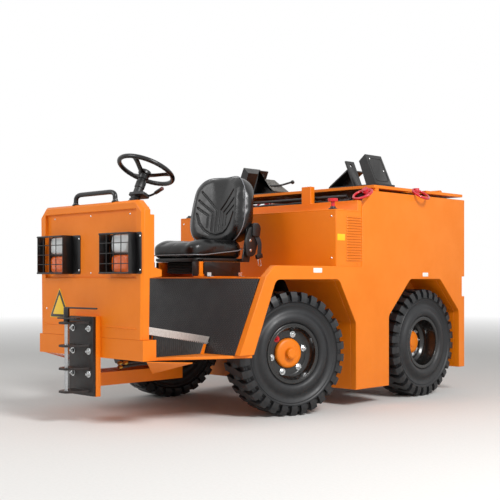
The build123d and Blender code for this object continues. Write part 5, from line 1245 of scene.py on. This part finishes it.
@dataclass
class DriverSeat:
    """The vinyl seat: padded cushion and wrap-round back, piping, pan, bellows, skirts, belt and recliner."""

    cushion_middle: tuple = (0.0, -0.607)
    cushion_bottom: float = 1.0569
    cushion_top: float = 1.1906
    half_width: float = 0.250
    half_length: float = 0.255
    cushion_corner: tuple = (0.243, 0.248)
    back_origin: tuple = (0.0, -0.392, 1.1640)
    back_lean_deg: float = 8.5
    back_height: float = 0.508
    back_half: float = 0.298
    back_face: float = 0.083
    wing: float = 0.245
    piping_turns: int = 72
    piping_middle: float = 0.24
    rib_size: tuple = (0.0050, 0.0080)
    seam_size: tuple = (0.0058, 0.0085)
    skirt_x: float = 0.2518
    skirt_z: float = 0.982
    hardware_x: float = 0.2735

    def puff(self, piece: bpy.types.Object, cap: float, voxel: float) -> None:
        """Swells a closed form as stuffed fabric does: remeshes it, lets cloth under pressure rise and settles it.

        Args:
            piece: the closed form.
            cap: the furthest that a point may move, in metres.
            voxel: size of the remesh, in metres.
        """
        bpy.context.view_layer.objects.active = piece
        remesh = piece.modifiers.new("voxels", "REMESH")
        remesh.mode = "VOXEL"
        remesh.voxel_size = voxel
        self.apply(piece, remesh.name)
        self.even_out(piece, 6)
        rest = read_points(piece.data)
        cloth = piece.modifiers.new("stuffing", "CLOTH")
        cloth.settings.use_pressure = True
        cloth.settings.uniform_pressure_force = 4.0
        cloth.settings.tension_stiffness = 30.0
        cloth.settings.compression_stiffness = 30.0
        cloth.settings.effector_weights.gravity = 0.0
        cloth.point_cache.frame_start, cloth.point_cache.frame_end = 1, 20
        for number in range(1, 16):
            bpy.context.scene.frame_set(number)
        self.apply(piece, cloth.name)
        bpy.context.scene.frame_set(1)
        move = read_points(piece.data) - rest
        reach = np.linalg.norm(move, axis=1)[:, None]
        move *= np.minimum(1.0, cap / np.maximum(reach, MERGE))
        write_points(piece.data, rest + move)
        self.even_out(piece, 14)

    def even_out(self, piece: bpy.types.Object, turns: int) -> None:
        """Evens a mesh out: in each turn, each point goes half way to its neighbours' middle."""
        even = piece.modifiers.new("even", "SMOOTH")
        even.factor, even.iterations = 0.5, turns
        self.apply(piece, even.name)

    @staticmethod
    def apply(piece: bpy.types.Object, name: str) -> None:
        """Applies one modifier to the piece's mesh."""
        with bpy.context.temp_override(object=piece, active_object=piece, selected_objects=[piece]):
            bpy.ops.object.modifier_apply(modifier=name)

    @staticmethod
    def closed_form(name: str, layers: np.ndarray) -> bpy.types.Object:
        """Makes the closed form that is stuffed afterwards.

        Args:
            name: the piece's name.
            layers: its stack of outlines.

        Returns:
            The new object, with no material yet.
        """
        shell = Shell()
        shell.stack(layers)
        mesh = shell.mesh(name)
        work = bmesh.new()
        work.from_mesh(mesh)
        bmesh.ops.recalc_face_normals(work, faces=work.faces)
        bmesh.ops.triangulate(work, faces=[f for f in work.faces if len(f.verts) > 4])
        work.to_mesh(mesh)
        work.free()
        return linked(name, mesh)

    @staticmethod
    def finish(piece: bpy.types.Object, points: np.ndarray, node: str, fill: float, levels: int) -> None:
        """Args:
            piece: the padded piece.
            points: its points after the last shaping.
            node: the CAD node that it stands for.
            fill: how tightly it is stuffed, from 0 to 1; not used.
            levels: levels of the live subdivision, or 0 for none.
        """
        write_points(piece.data, points)
        piece.data.shade_smooth()
        if levels:
            smoother = piece.modifiers.new("smooth", "SUBSURF")
            smoother.levels = smoother.render_levels = levels
        settle(piece, VINYL, "seat", [node])

    def cushion(self) -> None:
        """The cushion: a rounded slab whose top is a dish between raised sides, with a rolled front edge.

        The dish's middle sinks by the squared cosine of the way across, the front edge rolls down, and the seam
        round the seat is a groove of depth times exp(-(distance / width)^2).
        """
        half, length = self.cushion_corner
        outline = box_outline(2 * half, 2 * length, 0.09, 10)
        levels = ((0.018, 0.006), (0.004, 0.020), (0.0, 0.045), (0.002, 0.085), (0.012, 0.108), (0.034, 0.122))
        layers = [layer(outline * (1 - cut / half), z) for cut, z in levels]
        layers = np.stack(layers + [layer(outline * share, 0.124) for share in (0.72, 0.5, 0.28, 0.1)])
        across, along = layers[..., 0] / self.half_width, layers[..., 1] / self.half_length
        on_top = np.clip((layers[..., 2] - 0.09) / 0.034, 0, 1)
        layers[..., 2] -= on_top * 0.026 * np.cos(np.clip(across * 1.25, -1, 1) * pi / 2) ** 2
        layers[..., 2] -= on_top * 0.034 * np.clip((-along - 0.35) / 0.65, 0, 1) ** 2
        layers[..., 2] += on_top * 0.016 * np.clip((along - 0.5) / 0.5, 0, 1)
        layers[..., 2] = np.clip(layers[..., 2], 0.0, self.cushion_top - self.cushion_bottom + 0.008)
        layers += np.array([*self.cushion_middle, self.cushion_bottom])
        piece = self.closed_form("padded_cushion", layers)
        self.puff(piece, 0.010, 0.008)
        points = read_points(piece.data)
        x, y = points[:, 0], points[:, 1] - self.cushion_middle[1]
        top = points[:, 2] > self.cushion_bottom + 0.07
        ring = np.abs(np.maximum(np.abs(x) / 0.165, np.abs(y + 0.01) / 0.17) - 1.0) * 0.165
        points[:, 2] -= top * 0.0022 * np.exp(-(ring / 0.006) ** 2)
        points[:, 2] = np.clip(points[:, 2], self.cushion_bottom, self.cushion_top + 0.018)
        points[:, 0] = np.clip(points[:, 0], -self.half_width - 0.004, self.half_width + 0.004)
        self.finish(piece, points, "seat_cushion", 0.75, 1)

    def back_points(self, x: np.ndarray, up: np.ndarray, out: np.ndarray) -> np.ndarray:
        """Takes (across, up the back, forwards out of it) to the vehicle's frame."""
        lean = radians(self.back_lean_deg)
        o = self.back_origin
        return np.stack([o[0] + x, o[1] + up * sin(lean) - out * cos(lean),
                         o[2] + up * cos(lean) + out * sin(lean)], -1)

    def sunk(self, x: np.ndarray) -> np.ndarray:
        """How far the back's front has sunk between its wings, 0 to 1: the cosine of the way across, ^ 1.3."""
        return np.cos(np.clip(x / self.wing, -1, 1) * pi / 2) ** 1.3

    def piping_level(self, x: np.ndarray) -> np.ndarray:
        """How far out of the back the piping runs: 50 mm at the wings and 4 mm in the sunk middle."""
        return 0.050 - 0.046 * self.sunk(x)

    def back_form(self) -> np.ndarray:
        """The back before it is stuffed: its outline stacked from rear to front, with its sides brought forwards.

        The outline is widest at mid-height and narrower at its top and foot, with round corners.

        Returns:
            The stack of outlines, in the vehicle's frame.
        """
        w, h = self.back_half, self.back_height - 0.008
        corners = [(0.060 - w, 0.0), (w - 0.060, 0.0), (w, 0.190), (w - 0.062, h), (0.062 - w, h), (-w, 0.190)]
        outline = rounded(corners, 0.15, 12)
        middle = np.array([0.0, h * 0.48])
        levels = ((0.045, -0.068), (0.014, -0.062), (0.004, -0.045), (0.0, 0.0), (0.0, 0.040), (0.006, 0.060),
                  (0.020, 0.078), (0.042, self.back_face))
        shares = [(1 - cut / w, out) for cut, out in levels]
        shares += [(share, self.back_face) for share in (0.7, 0.5, 0.3, 0.1)]
        layers = np.stack([layer((outline - middle) * share + middle, out) for share, out in shares])
        front = np.clip((layers[..., 2] - 0.045) / 0.03, 0, 1)
        layers[..., 2] -= front * 0.055 * self.sunk(layers[..., 0])
        return self.back_points(layers[..., 0], layers[..., 1], layers[..., 2])

    def embossed_lines(self) -> list:
        """The back's lines as (start, end, width, depth): three bent ribs a side and the lower seam."""
        lines = []
        for side in SIDES:
            for foot, low, knee, far, tip in ((0.020, 0.085, 0.244, 0.165, 0.382),
                                              (0.058, 0.096, 0.226, 0.184, 0.318),
                                              (0.096, 0.118, 0.206, 0.190, 0.262)):
                lines.append(((side * foot, low), (side * foot, knee), *self.rib_size))
                lines.append(((side * foot, knee), (side * far, tip), *self.rib_size))
            seam = [(side * x, up) for x, up in ((0.190, 0.215), (0.160, 0.145), (0.120, 0.100), (0.072, 0.072),
                                                 (0.0, 0.058))]
            lines += [(start, end, *self.seam_size) for start, end in zip(seam, seam[1:])]
        return lines

    def emboss(self, x: np.ndarray, up: np.ndarray) -> np.ndarray:
        """How deep the back's front is sunk: the largest of depth times exp(-(distance to a line / width)^2).

        Args:
            x: the points' places across.
            up: their places up the back.

        Returns:
            One depth for each point, in metres.
        """
        flat = np.column_stack([x, up])
        sink = np.zeros(len(flat))
        for start, end, width, depth in self.embossed_lines():
            start, end = np.asarray(start), np.asarray(end)
            way = end - start
            t = np.clip(((flat - start) @ way) / way.dot(way), 0, 1)
            away = np.linalg.norm(flat - start - t[:, None] * way, axis=1)
            sink = np.maximum(sink, depth * np.exp(-(away / width) ** 2))
        return sink

    def piping_path(self, x: np.ndarray, up: np.ndarray, out: np.ndarray) -> np.ndarray:
        """The furthest of the back's points in each of 72 directions at the piping's level, evened out.

        Args:
            x: the points' places across.
            up: their places up the back.
            out: how far out of it they stand.

        Returns:
            The path, in the vehicle's frame.
        """
        band = np.abs(out - self.piping_level(x)) < 0.006
        x, up, turns = x[band], up[band] - self.piping_middle, self.piping_turns
        turn = (np.arctan2(up, x) + pi) / (2 * pi) * turns
        far = np.zeros(turns)
        np.maximum.at(far, turn.astype(int) % turns, np.hypot(up, x))
        far = (np.roll(far, 1) + 2 * far + np.roll(far, -1)) / 4 + 0.0015
        angle = (np.arange(turns) + 0.5) / turns * 2 * pi - pi
        x, up = far * np.cos(angle), far * np.sin(angle) + self.piping_middle
        return self.back_points(x, up, self.piping_level(x))

    def backrest(self) -> np.ndarray:
        """The back, stuffed and embossed.

        Returns:
            The path of the piping round its edge.
        """
        piece = self.closed_form("padded_back", self.back_form())
        self.puff(piece, 0.012, 0.0075)
        finer = piece.modifiers.new("finer", "SUBSURF")
        finer.levels = finer.render_levels = 1
        self.apply(piece, finer.name)
        points = read_points(piece.data)
        lean = radians(self.back_lean_deg)
        offset = points - np.asarray(self.back_origin)
        up = offset[:, 1] * sin(lean) + offset[:, 2] * cos(lean)
        out = -offset[:, 1] * cos(lean) + offset[:, 2] * sin(lean)
        sink = self.emboss(points[:, 0], up) * np.clip(out / 0.012, 0, 1)
        points += sink[:, None] * np.array([0.0, cos(lean), -sin(lean)])
        self.finish(piece, points, "seat_back", 0.7, 0)
        return self.piping_path(points[:, 0], up, out)

    def piping(self, back_edge: np.ndarray) -> None:
        """The piping: a thin cord sewn round the back's edge and the cushion, where it rises to the rear.

        Args:
            back_edge: its path round the back.
        """
        shell = Shell()
        lean = radians(self.back_lean_deg)
        shell.hoop(back_edge, 0.0036, up=(0, cos(lean), -sin(lean)))
        half, length = self.cushion_corner
        outline = box_outline(2 * half + 0.005, 2 * length + 0.005, 0.09, 16)
        rise = 0.022 + 0.050 * np.clip((outline[:, 1] - 0.02) / 0.20, 0, 1) ** 1.2
        path = np.column_stack([outline + np.asarray(self.cushion_middle), self.cushion_bottom + rise])
        shell.hoop(path, 0.0034, up=(0.02, 0.03, 1))
        # The piping's grey colour is a painted sheen along the cord
        shell.build("seat_piping", PAINTED_SHEEN_PIPING, "seat", "seat_vinyl")

    def underside(self) -> None:
        """The moulded pan under the cushion and the rubber bellows round the suspension."""
        pan, bellows = Shell(), Shell()
        y = self.cushion_middle[1]
        outline = rounded([(-0.232, -0.226), (0.232, -0.226), (0.232, 0.222), (-0.232, 0.222)], 0.08, 8)
        pan.plate(outline, 0.020, 0.004, (0.0, y, 1.0370), UP, LEFT)
        pan.build("seat_pan_shell", PLASTIC, "seat", "black_plastic")
        ring = box_outline(0.356, 0.300, 0.03, 6)
        heights = np.linspace(0.952, 1.030, 15)
        folds = [layer(ring * (1.0 if number % 2 else 0.955), z) for number, z in enumerate(heights)]
        bellows.stack(np.stack(folds) + np.array([0.0, y, 0.0]))
        bellows.build("suspension_bellows", RUBBER, "seat", "rubber_mat", angle_deg=20)

    def skirts(self) -> None:
        """Black sheets on both sides of the plinth, an orange post before them and bright feet below."""
        sheets, posts, feet = Shell(), Shell(), Shell()
        corners = [(-0.004, 0.0), (0.030, 0.0), (0.030, 0.004), (0.004, 0.006), (0.004, 0.030), (0.0, 0.030)]
        foot = rounded(corners, 0.0012, 3)
        strip = np.stack([layer(foot, z) for z in (-0.018, 0.018)])
        for side in SIDES:
            for shell, length, height, corner, thickness, x, y in (
                    (sheets, 0.345, 0.098, 0.006, 0.004, self.skirt_x, -0.602),
                    (sheets, 0.052, 0.098, 0.004, 0.004, self.skirt_x, -0.857),
                    (posts, 0.034, 0.100, 0.004, 0.007, self.skirt_x - 0.0003, -0.806)):
                shell.plate(box_outline(length, height, corner), thickness, 0.001,
                            (side * x, y, self.skirt_z), (side, 0, 0), REAR)
            for y in (-0.733, -0.434):
                feet.stack(placed(strip * (side, 1, 1), (side * 0.256, y, 0.9285), FRONT, LEFT))
                fasten(feet, (side * 0.272, y, 0.9325), UP, 5.0, Head.DOME)
        sheets.build("seat_skirt_sheets", BLACK, "body", "black_paint")
        posts.build("seat_skirt_posts", ORANGE, "body", "orange_paint")
        feet.build("seat_skirt_feet", ZINC, "body", "steel")

    def hardware(self) -> None:
        """Recliner cover, belt retractor, the slide's lever, buckle, tongue and webbing."""
        dark, bright, web = Shell(), Shell(), Shell()
        x = self.hardware_x
        cover = rounded([(-0.03, -0.11), (0.05, -0.10), (0.085, 0.0), (0.06, 0.10), (0.0, 0.115), (-0.045, 0.0)],
                        0.03)
        dark.plate(cover, 0.022, 0.006, (x, -0.372, 1.175), LEFT, REAR)
        retractor = rounded([(-0.035, -0.05), (0.035, -0.05), (0.045, 0.02), (0.02, 0.05), (-0.03, 0.045)],
                            0.014, 5)
        dark.plate(retractor, 0.040, 0.006, (x, -0.322, 1.262), LEFT, REAR)
        dark.rod((0.21, -0.80, 1.047), (0.268, -0.79, 1.046), 0.006, 10)
        dark.plate(box_outline(0.034, 0.060, 0.008), 0.022, 0.004, (x + 0.006, -0.276, 1.075), LEFT,
                   (0, 0.25, -0.97))
        tongue = rounded([(-0.013, 0, 0), (-0.013, 0.052, 0), (0.013, 0.052, 0), (0.013, 0, 0)], 0.009, 5)
        ring = tube(np.vstack([tongue, tongue[:1]]), 0.0028, 8, up=UP)
        bright.grid(placed(ring, (x + 0.020, -0.270, 1.003), LEFT, (0, 1, 0.15)), along=True)
        strap = [(x + 0.020, -0.320, 1.245), (x + 0.034, -0.285, 1.17), (x + 0.020, -0.277, 1.09)]
        web.bar(strap, 0.03, 8, 0.021, 12, up=LEFT, flat=0.08)
        for y, z in ((-0.368, 1.185), (-0.365, 1.115)):
            fasten(bright, (x + 0.022, y, z), LEFT, 7.0)
        dark.build("seat_hardware", PLASTIC, "seat", "black_plastic")
        bright.build("seat_bright_parts", ZINC, "seat", "steel")
        web.build("belt_webbing", WEBBING, "seat", "seat_vinyl")

    def build(self) -> None:
        """Builds the seat."""
        self.cushion()
        self.piping(self.backrest())
        self.underside()
        self.skirts()
        self.hardware()


@dataclass
class RearBody:
    """Hood, body and deck details: louvre hoods, labels, bolts, the cradles' trim, cables and lamps' trim."""

    half_width: float = 0.820
    hood_half: float = 0.814
    louvre_count: int = 17
    louvre_top: float = 1.350
    louvre_pitch: float = 0.019
    louvre_ends: tuple = (0.064, 0.244)
    collar_mm: tuple = ((0, 0), (31, 0), (31, 7), (27, 11), (20, 12), (18, 22), (0, 22))
    cradle_y: float = 0.600
    ramp: tuple = ((0.2905, 1.6225), (0.4705, 1.7435))
    box_back: tuple = ((0.745, 1.618), (0.640, 1.846))
    knob_mm: tuple = ((0, 0), (8, 2), (15, 9), (17, 17), (14, 27), (7, 32), (0, 33))
    lamp_x: float = 0.640
    lamp_z: float = 1.330
    panel_y: float = 1.5883
    reflector_mm: tuple = ((0, 0), (32, 0), (32, 5), (27, 8), (0, 9))

    def louvres(self) -> None:
        """Pressed louvre hoods over the slots, each a quarter of a flat tube: out r sin a, up s cos a.

        Towards its ends a hood closes by the square root of the way left.
        """
        shell = Shell()
        start, end = self.louvre_ends
        a = np.linspace(0, pi / 2, 7)
        y = np.linspace(start, end, 12)
        close = np.clip(np.minimum(y - start, end - y) / 0.010, 0, 1) ** 0.5
        out = 0.0070 * np.sin(a)[None, :] * close[:, None]
        up = np.broadcast_to(0.0085 * np.cos(a)[None, :] - 0.004, out.shape)
        along = np.broadcast_to(y[:, None], out.shape)
        for side in SIDES:
            for number in range(self.louvre_count):
                z = self.louvre_top - number * self.louvre_pitch
                shell.grid(np.stack([side * (self.hood_half - 0.0006 + out), along, z + up], -1))
        piece = shell.build("louvre_hoods", ORANGE, "body", "orange_paint", angle_deg=60)
        wall = piece.modifiers.new("sheet", "SOLIDIFY")
        wall.thickness = 0.0012
        wall.offset = 0.0

    def labels(self) -> None:
        """Blank films: one yellow beside the louvres and small white ones on each side."""
        for name, finish, slot, places in (
                ("blank_yellow_labels", YELLOW_FILM, "amber_plastic", (
                    (self.hood_half, 0.008, 1.205, 0.083, 0.045),)),
                ("blank_white_labels", WHITE_FILM, "lamp_glass", (
                    (self.half_width, -0.250, 0.972, 0.090, 0.032),
                    (self.half_width, 1.03, 0.945, 0.075, 0.030)))):
            shell = Shell()
            for side in SIDES:
                for x, y, z, length, height in places:
                    shell.plate(box_outline(length, height, 0.004, 3), 0.0006, 0.0002, (side * (x + 0.0001), y, z),
                                (side, 0, 0), REAR)
            shell.build(name, finish, "body", slot)

    def bolts(self) -> None:
        """Bolts of the hood's corners, the deck's posts and the back panel, and rivets of the body's skirts."""
        bright, dark = Shell(), Shell()
        for side in SIDES:
            for z in (1.352, 1.06):
                fasten(bright, (side * 0.775, -0.050, z), FRONT, 7.5, Head.DOME)
            for x in (0.300, 0.325, 0.350):
                fasten(bright, (side * x, 0.217, 1.600), UP, 5.5)
            for z in (0.66, 0.86, 1.08, 1.30, 1.50):
                fasten(bright, (side * 0.745, 1.588, z), REAR, 7.0)
            for y, z in ((0.19, 0.19), (0.55, 0.19), (0.19, 0.56), (0.19, 1.02)):
                fasten(dark, (side * self.half_width, y, z), (side, 0, 0), 5.0, Head.DOME)
        bright.build("body_bolts", ZINC, "body", "steel")
        dark.build("body_rivets", ORANGE, "body", "orange_paint")

    def collars(self) -> None:
        """The stepped plastic collars under the stop buttons."""
        shell = Shell()
        for side in SIDES:
            shell.turned(self.collar_mm, 32, (side * 0.750, -0.005, 1.4000), UP)
        shell.build("stop_button_collars", PLASTIC, "body", "black_plastic")

    def cradle_trim(self) -> None:
        """Grit pads on the cradles' ramps, studs and welded frames on their boxes, and the locking rod.

        Places are (outwards, up) along a ramp or a box's back, with the direction square to each.
        """
        grit, studs, black = Shell(), Shell(), Shell()
        y = self.cradle_y
        low, high = np.array(self.ramp)
        way = (high - low) / np.linalg.norm(high - low)
        out = np.array([-way[1], way[0]])
        start, end = low + way * 0.006 + out * 0.0012, high - way * 0.004 + out * 0.0012
        middle, length = (start + end) / 2, float(np.linalg.norm(end - start))
        foot, head = np.array(self.box_back)
        up = (head - foot) / np.linalg.norm(head - foot)
        face = np.array([up[1], -up[0]])
        outline = box_outline(0.160, 0.192, 0.025, 6) + (0, 0.126)
        spots = foot + up * outline[:, 1:]
        for side in SIDES:
            grit.plate(box_outline(length, 0.186, 0.006), 0.0022, 0.0006, (side * middle[0], y, middle[1]),
                       (side * out[0], 0, out[1]), (side * way[0], 0, way[1]))
            for along, across in ((0.215, -0.062), (0.120, 0.060)):
                spot = foot + up * along
                fasten(studs, (side * spot[0], y + across, spot[1]), (side * face[0], 0, face[1]), 7.0, Head.DOME)
            path = np.column_stack([side * spots[:, 0], y + outline[:, 0], spots[:, 1]])
            black.hoop(path, 0.003, up=(face[0] * side, 0.01, face[1]))
        black.bar([(-0.36, 0.53, 1.675), (-0.36, 0.66, 1.690), (-0.30, 0.72, 1.715)], 0.03, 8, 0.008, 12)
        black.turned(self.knob_mm, 24, (-0.300, 0.716, 1.708), (0.4, 0.5, 0.35))
        grit.build("cradle_grit_pads", GRIT, "lid", "black_paint")
        studs.build("cradle_studs", ZINC, "lid", "steel")
        black.build("cradle_rods", BLACK, "lid", "black_paint")

    def inside_hood(self) -> None:
        """Three slack cables, each a sine along X, and a vent tube that show in the slot before the lid."""
        cables, vent = Shell(), Shell()
        for offset, height in ((0.0, 0.0), (0.035, -0.012), (0.07, 0.006)):
            x = np.linspace(-0.62, 0.62, 40)
            z = 1.476 + height + 0.012 * np.sin(x * 7 + offset * 40)
            cables.stack(tube(np.column_stack([x, np.full(len(x), 0.285 + offset), z]), 0.014, 12))
        vent.rod((-0.66, 0.262, 1.515), (0.66, 0.262, 1.515), 0.011, 14)
        cables.build("battery_cables", RUBBER, "body", "rubber_mat")
        vent.build("battery_vent_tube", RUBBER, "body", "rubber_mat")

    def tail_trim(self) -> None:
        """Rims and cross ribs of the tail lamps and the round reflectors below them."""
        rims, lights = Shell(), Shell()
        for side in SIDES:
            x = side * self.lamp_x
            outline = layer(box_outline(0.096, 0.186, 0.016, 6), 0.010)
            rims.hoop(placed(outline, (x, self.panel_y, self.lamp_z), REAR, LEFT), 0.006, up=(0, 1, 0.01))
            for z in (self.lamp_z - 0.030, self.lamp_z + 0.030):
                rims.rod((x - 0.043, 1.6285, z), (x + 0.043, 1.6285, z), 0.002, up=REAR, rings=6)
            lights.turned(self.reflector_mm, 40, (x, self.panel_y - 0.0001, 1.160), REAR)
        rims.build("tail_lamp_rims", PLASTIC, "body", "black_plastic")
        lights.build("rear_reflectors", RED_LENS, "body", "red_plastic")

    def build(self) -> None:
        """Builds the rear body's details."""
        self.louvres()
        self.labels()
        self.bolts()
        self.collars()
        self.cradle_trim()
        self.inside_hood()
        self.tail_trim()


@dataclass
class Undercarriage:
    """What shows below the bumper: its gussets, hoses with brass ends, and the steering links."""

    gusset: tuple = ((0.556, -1.522, 0.416), (0.300, -1.265, 0.311), (0.790, -1.363, 0.416))
    gusset_sheet: float = 0.005
    hose_starts: tuple = ((0.16, 0.352), (0.19, 0.372), (0.13, 0.366))
    fitting_mm: tuple = ((0, 0), (13, 0), (13, 18), (9, 20), (9, 34), (0, 34))

    def gussets(self) -> None:
        """The thin three-cornered gussets below the bumper, each a plan moved along its normal by the sheet."""
        shell = Shell()
        for side in SIDES:
            corners = np.array(self.gusset) * (side, 1, 1)
            normal = np.cross(corners[1] - corners[0], corners[2] - corners[0])
            normal *= self.gusset_sheet / np.linalg.norm(normal)
            plan = np.vstack([np.linspace(corners[n], corners[(n + 1) % 3], 6)[:-1] for n in range(3)])
            shell.stack(np.stack([plan, plan + normal]))
        shell.build("bumper_gussets", ORANGE, "body", "orange_paint")

    def hoses(self) -> None:
        """The hydraulic hoses, each a slack path of sines along Y, and the hexagon brass end on each."""
        hoses, fittings = Shell(), Shell()
        t = np.linspace(0, 1, 30)
        for number, (x, z) in enumerate(self.hose_starts):
            path = np.column_stack([x + 0.03 * np.sin(3 * t + number), -1.40 + 0.62 * t,
                                    z + 0.012 * np.sin(5 * t + number)])
            hoses.stack(tube(path, 0.011, 12))
            fittings.turned(self.fitting_mm, 6, path[0] - (0, 0.030, 0), REAR)
        hoses.build("front_hoses", RUBBER, "body", "rubber_mat")
        fittings.build("hose_fittings", BRASS, "body", "steel", angle_deg=30)

    def links(self) -> None:
        """The steering links behind the front axle."""
        shell = Shell()
        for side in SIDES:
            shell.rod((side * 0.05, -0.545, 0.415), (side * 0.36, -0.500, 0.415), 0.016, 14)
        shell.build("steering_links", BLACK, "body", "black_paint")

    def build(self) -> None:
        """Builds the gussets, the hoses with their fittings and the steering links."""
        self.gussets()
        self.hoses()
        self.links()


@dataclass
class Studio:
    """Pale floor, plain background, soft lights, and the camera at the photograph's angle."""

    focal_mm: float = 68.4
    azimuth_deg: float = 44.58
    camera_at: tuple = (5.015, -5.162, 0.93)
    horizon_shift: float = 0.053
    aim: tuple = (0.0, 0.0, 0.7)
    world_light: float = 0.34

    def camera(self) -> None:
        """Places the camera: level, turned by the azimuth, with the horizon's small shift."""
        data = bpy.data.cameras.new("photo_camera")
        data.lens = self.focal_mm
        data.sensor_width = 36.0
        data.sensor_fit = "HORIZONTAL"
        data.shift_y = self.horizon_shift
        data.clip_end = 200.0
        camera = linked("photo_camera", data)
        camera.location = self.camera_at
        camera.rotation_euler = (pi / 2, 0.0, radians(self.azimuth_deg))
        bpy.context.scene.camera = camera

    def light(self, name: str, at: tuple, size: float, power: float) -> None:
        """Adds a soft round light that faces the vehicle.

        Args:
            name: the light's name.
            at: its place.
            size: its diameter, in metres.
            power: its power, in watts.
        """
        data = bpy.data.lights.new(name, "AREA")
        data.shape = "DISK"
        data.size = size
        data.energy = power
        lamp = linked(name, data)
        lamp.location = at
        lamp.rotation_euler = (Vector(self.aim) - Vector(at)).to_track_quat("-Z", "Y").to_euler()

    def backdrop(self) -> None:
        """Sets the world: white where the camera or a glossy or clear surface sees it, plain grey as light."""
        world = bpy.data.worlds.new("plain_studio")
        bpy.context.scene.world = world
        world.use_nodes = True
        tree = world.node_tree
        tree.nodes.clear()
        rays = add(tree, "ShaderNodeLightPath")
        glossy, through = rays.outputs["Is Glossy Ray"], rays.outputs["Is Transmission Ray"]
        clear = add(tree, "ShaderNodeMath", {0: glossy, 1: through}, operation="MAXIMUM")
        seen = add(tree, "ShaderNodeMath", {0: rays.outputs["Is Camera Ray"], 1: clear.outputs[0]},
                   operation="MAXIMUM")
        strength = add(tree, "ShaderNodeMapRange", {0: seen.outputs[0], 3: self.world_light, 4: 1.0})
        shade = add(tree, "ShaderNodeBackground", {"Color": (1, 1, 1, 1), "Strength": strength.outputs[0]})
        add(tree, "ShaderNodeOutputWorld", {"Surface": shade.outputs[0]})

    def floor(self) -> None:
        """A wide pale disc, whose colour fades to the background's white far from the vehicle."""
        shell = Shell()
        shell.grid(lathe([(0, 0), (3, 0), (9, 0), (60, 0)], 64), around=True)
        floor = linked("studio_floor", shell.mesh("studio_floor"))
        floor.location.z = -0.0005
        material = bpy.data.materials.new("pale_floor_paint")
        material.use_nodes = True
        tree = material.node_tree
        shader = tree.nodes["Principled BSDF"]
        place = add(tree, "ShaderNodeTexCoord").outputs["Object"]
        grains = add(tree, "ShaderNodeTexNoise", {"Vector": place, "Scale": 60.0, "Detail": 4.0})
        colour = add(tree, "ShaderNodeMix", {0: grains.outputs[0], 6: linear("#E2E1DE"), 7: linear("#EDECEA")},
                     data_type="RGBA").outputs[2]
        tree.links.new(colour, shader.inputs["Base Color"])
        shader.inputs["Roughness"].default_value = 0.85
        far = add(tree, "ShaderNodeVectorMath", {0: place}, operation="LENGTH")
        fade = add(tree, "ShaderNodeMapRange", {0: far.outputs["Value"], 1: 5.0, 2: 16.0})
        white = add(tree, "ShaderNodeEmission", {"Color": (1, 1, 1, 1), "Strength": 1.0})
        mixed = add(tree, "ShaderNodeMixShader", {0: fade.outputs[0], 1: shader.outputs[0], 2: white.outputs[0]})
        tree.links.new(mixed.outputs[0], tree.nodes["Material Output"].inputs["Surface"])
        floor.data.materials.append(material)

    def build(self) -> None:
        """Builds the studio."""
        self.camera()
        self.backdrop()
        self.floor()
        self.light("key_from_the_left_side", (6.4, -1.6, 5.0), 2.4, 425.0)
        self.light("fill_over_the_front", (-1.5, -6.5, 4.5), 3.5, 150.0)
        bpy.context.scene.view_settings.view_transform = "Standard"


def main() -> None:
    """Builds the vehicle's pieces and the studio, and reports each piece."""
    logging.basicConfig(level=logging.INFO, format="%(message)s")
    Studio().build()
    Bodywork().build()
    for wheel in WHEELS:
        wheel.build()
    LampCluster().build()
    FrontCowl().build()
    TowCoupling("front", -1).build()
    TowCoupling("rear", 1).build()
    Cab().build()
    DriverSeat().build()
    RearBody().build()
    Undercarriage().build()


if __name__ == "__main__":
    main()
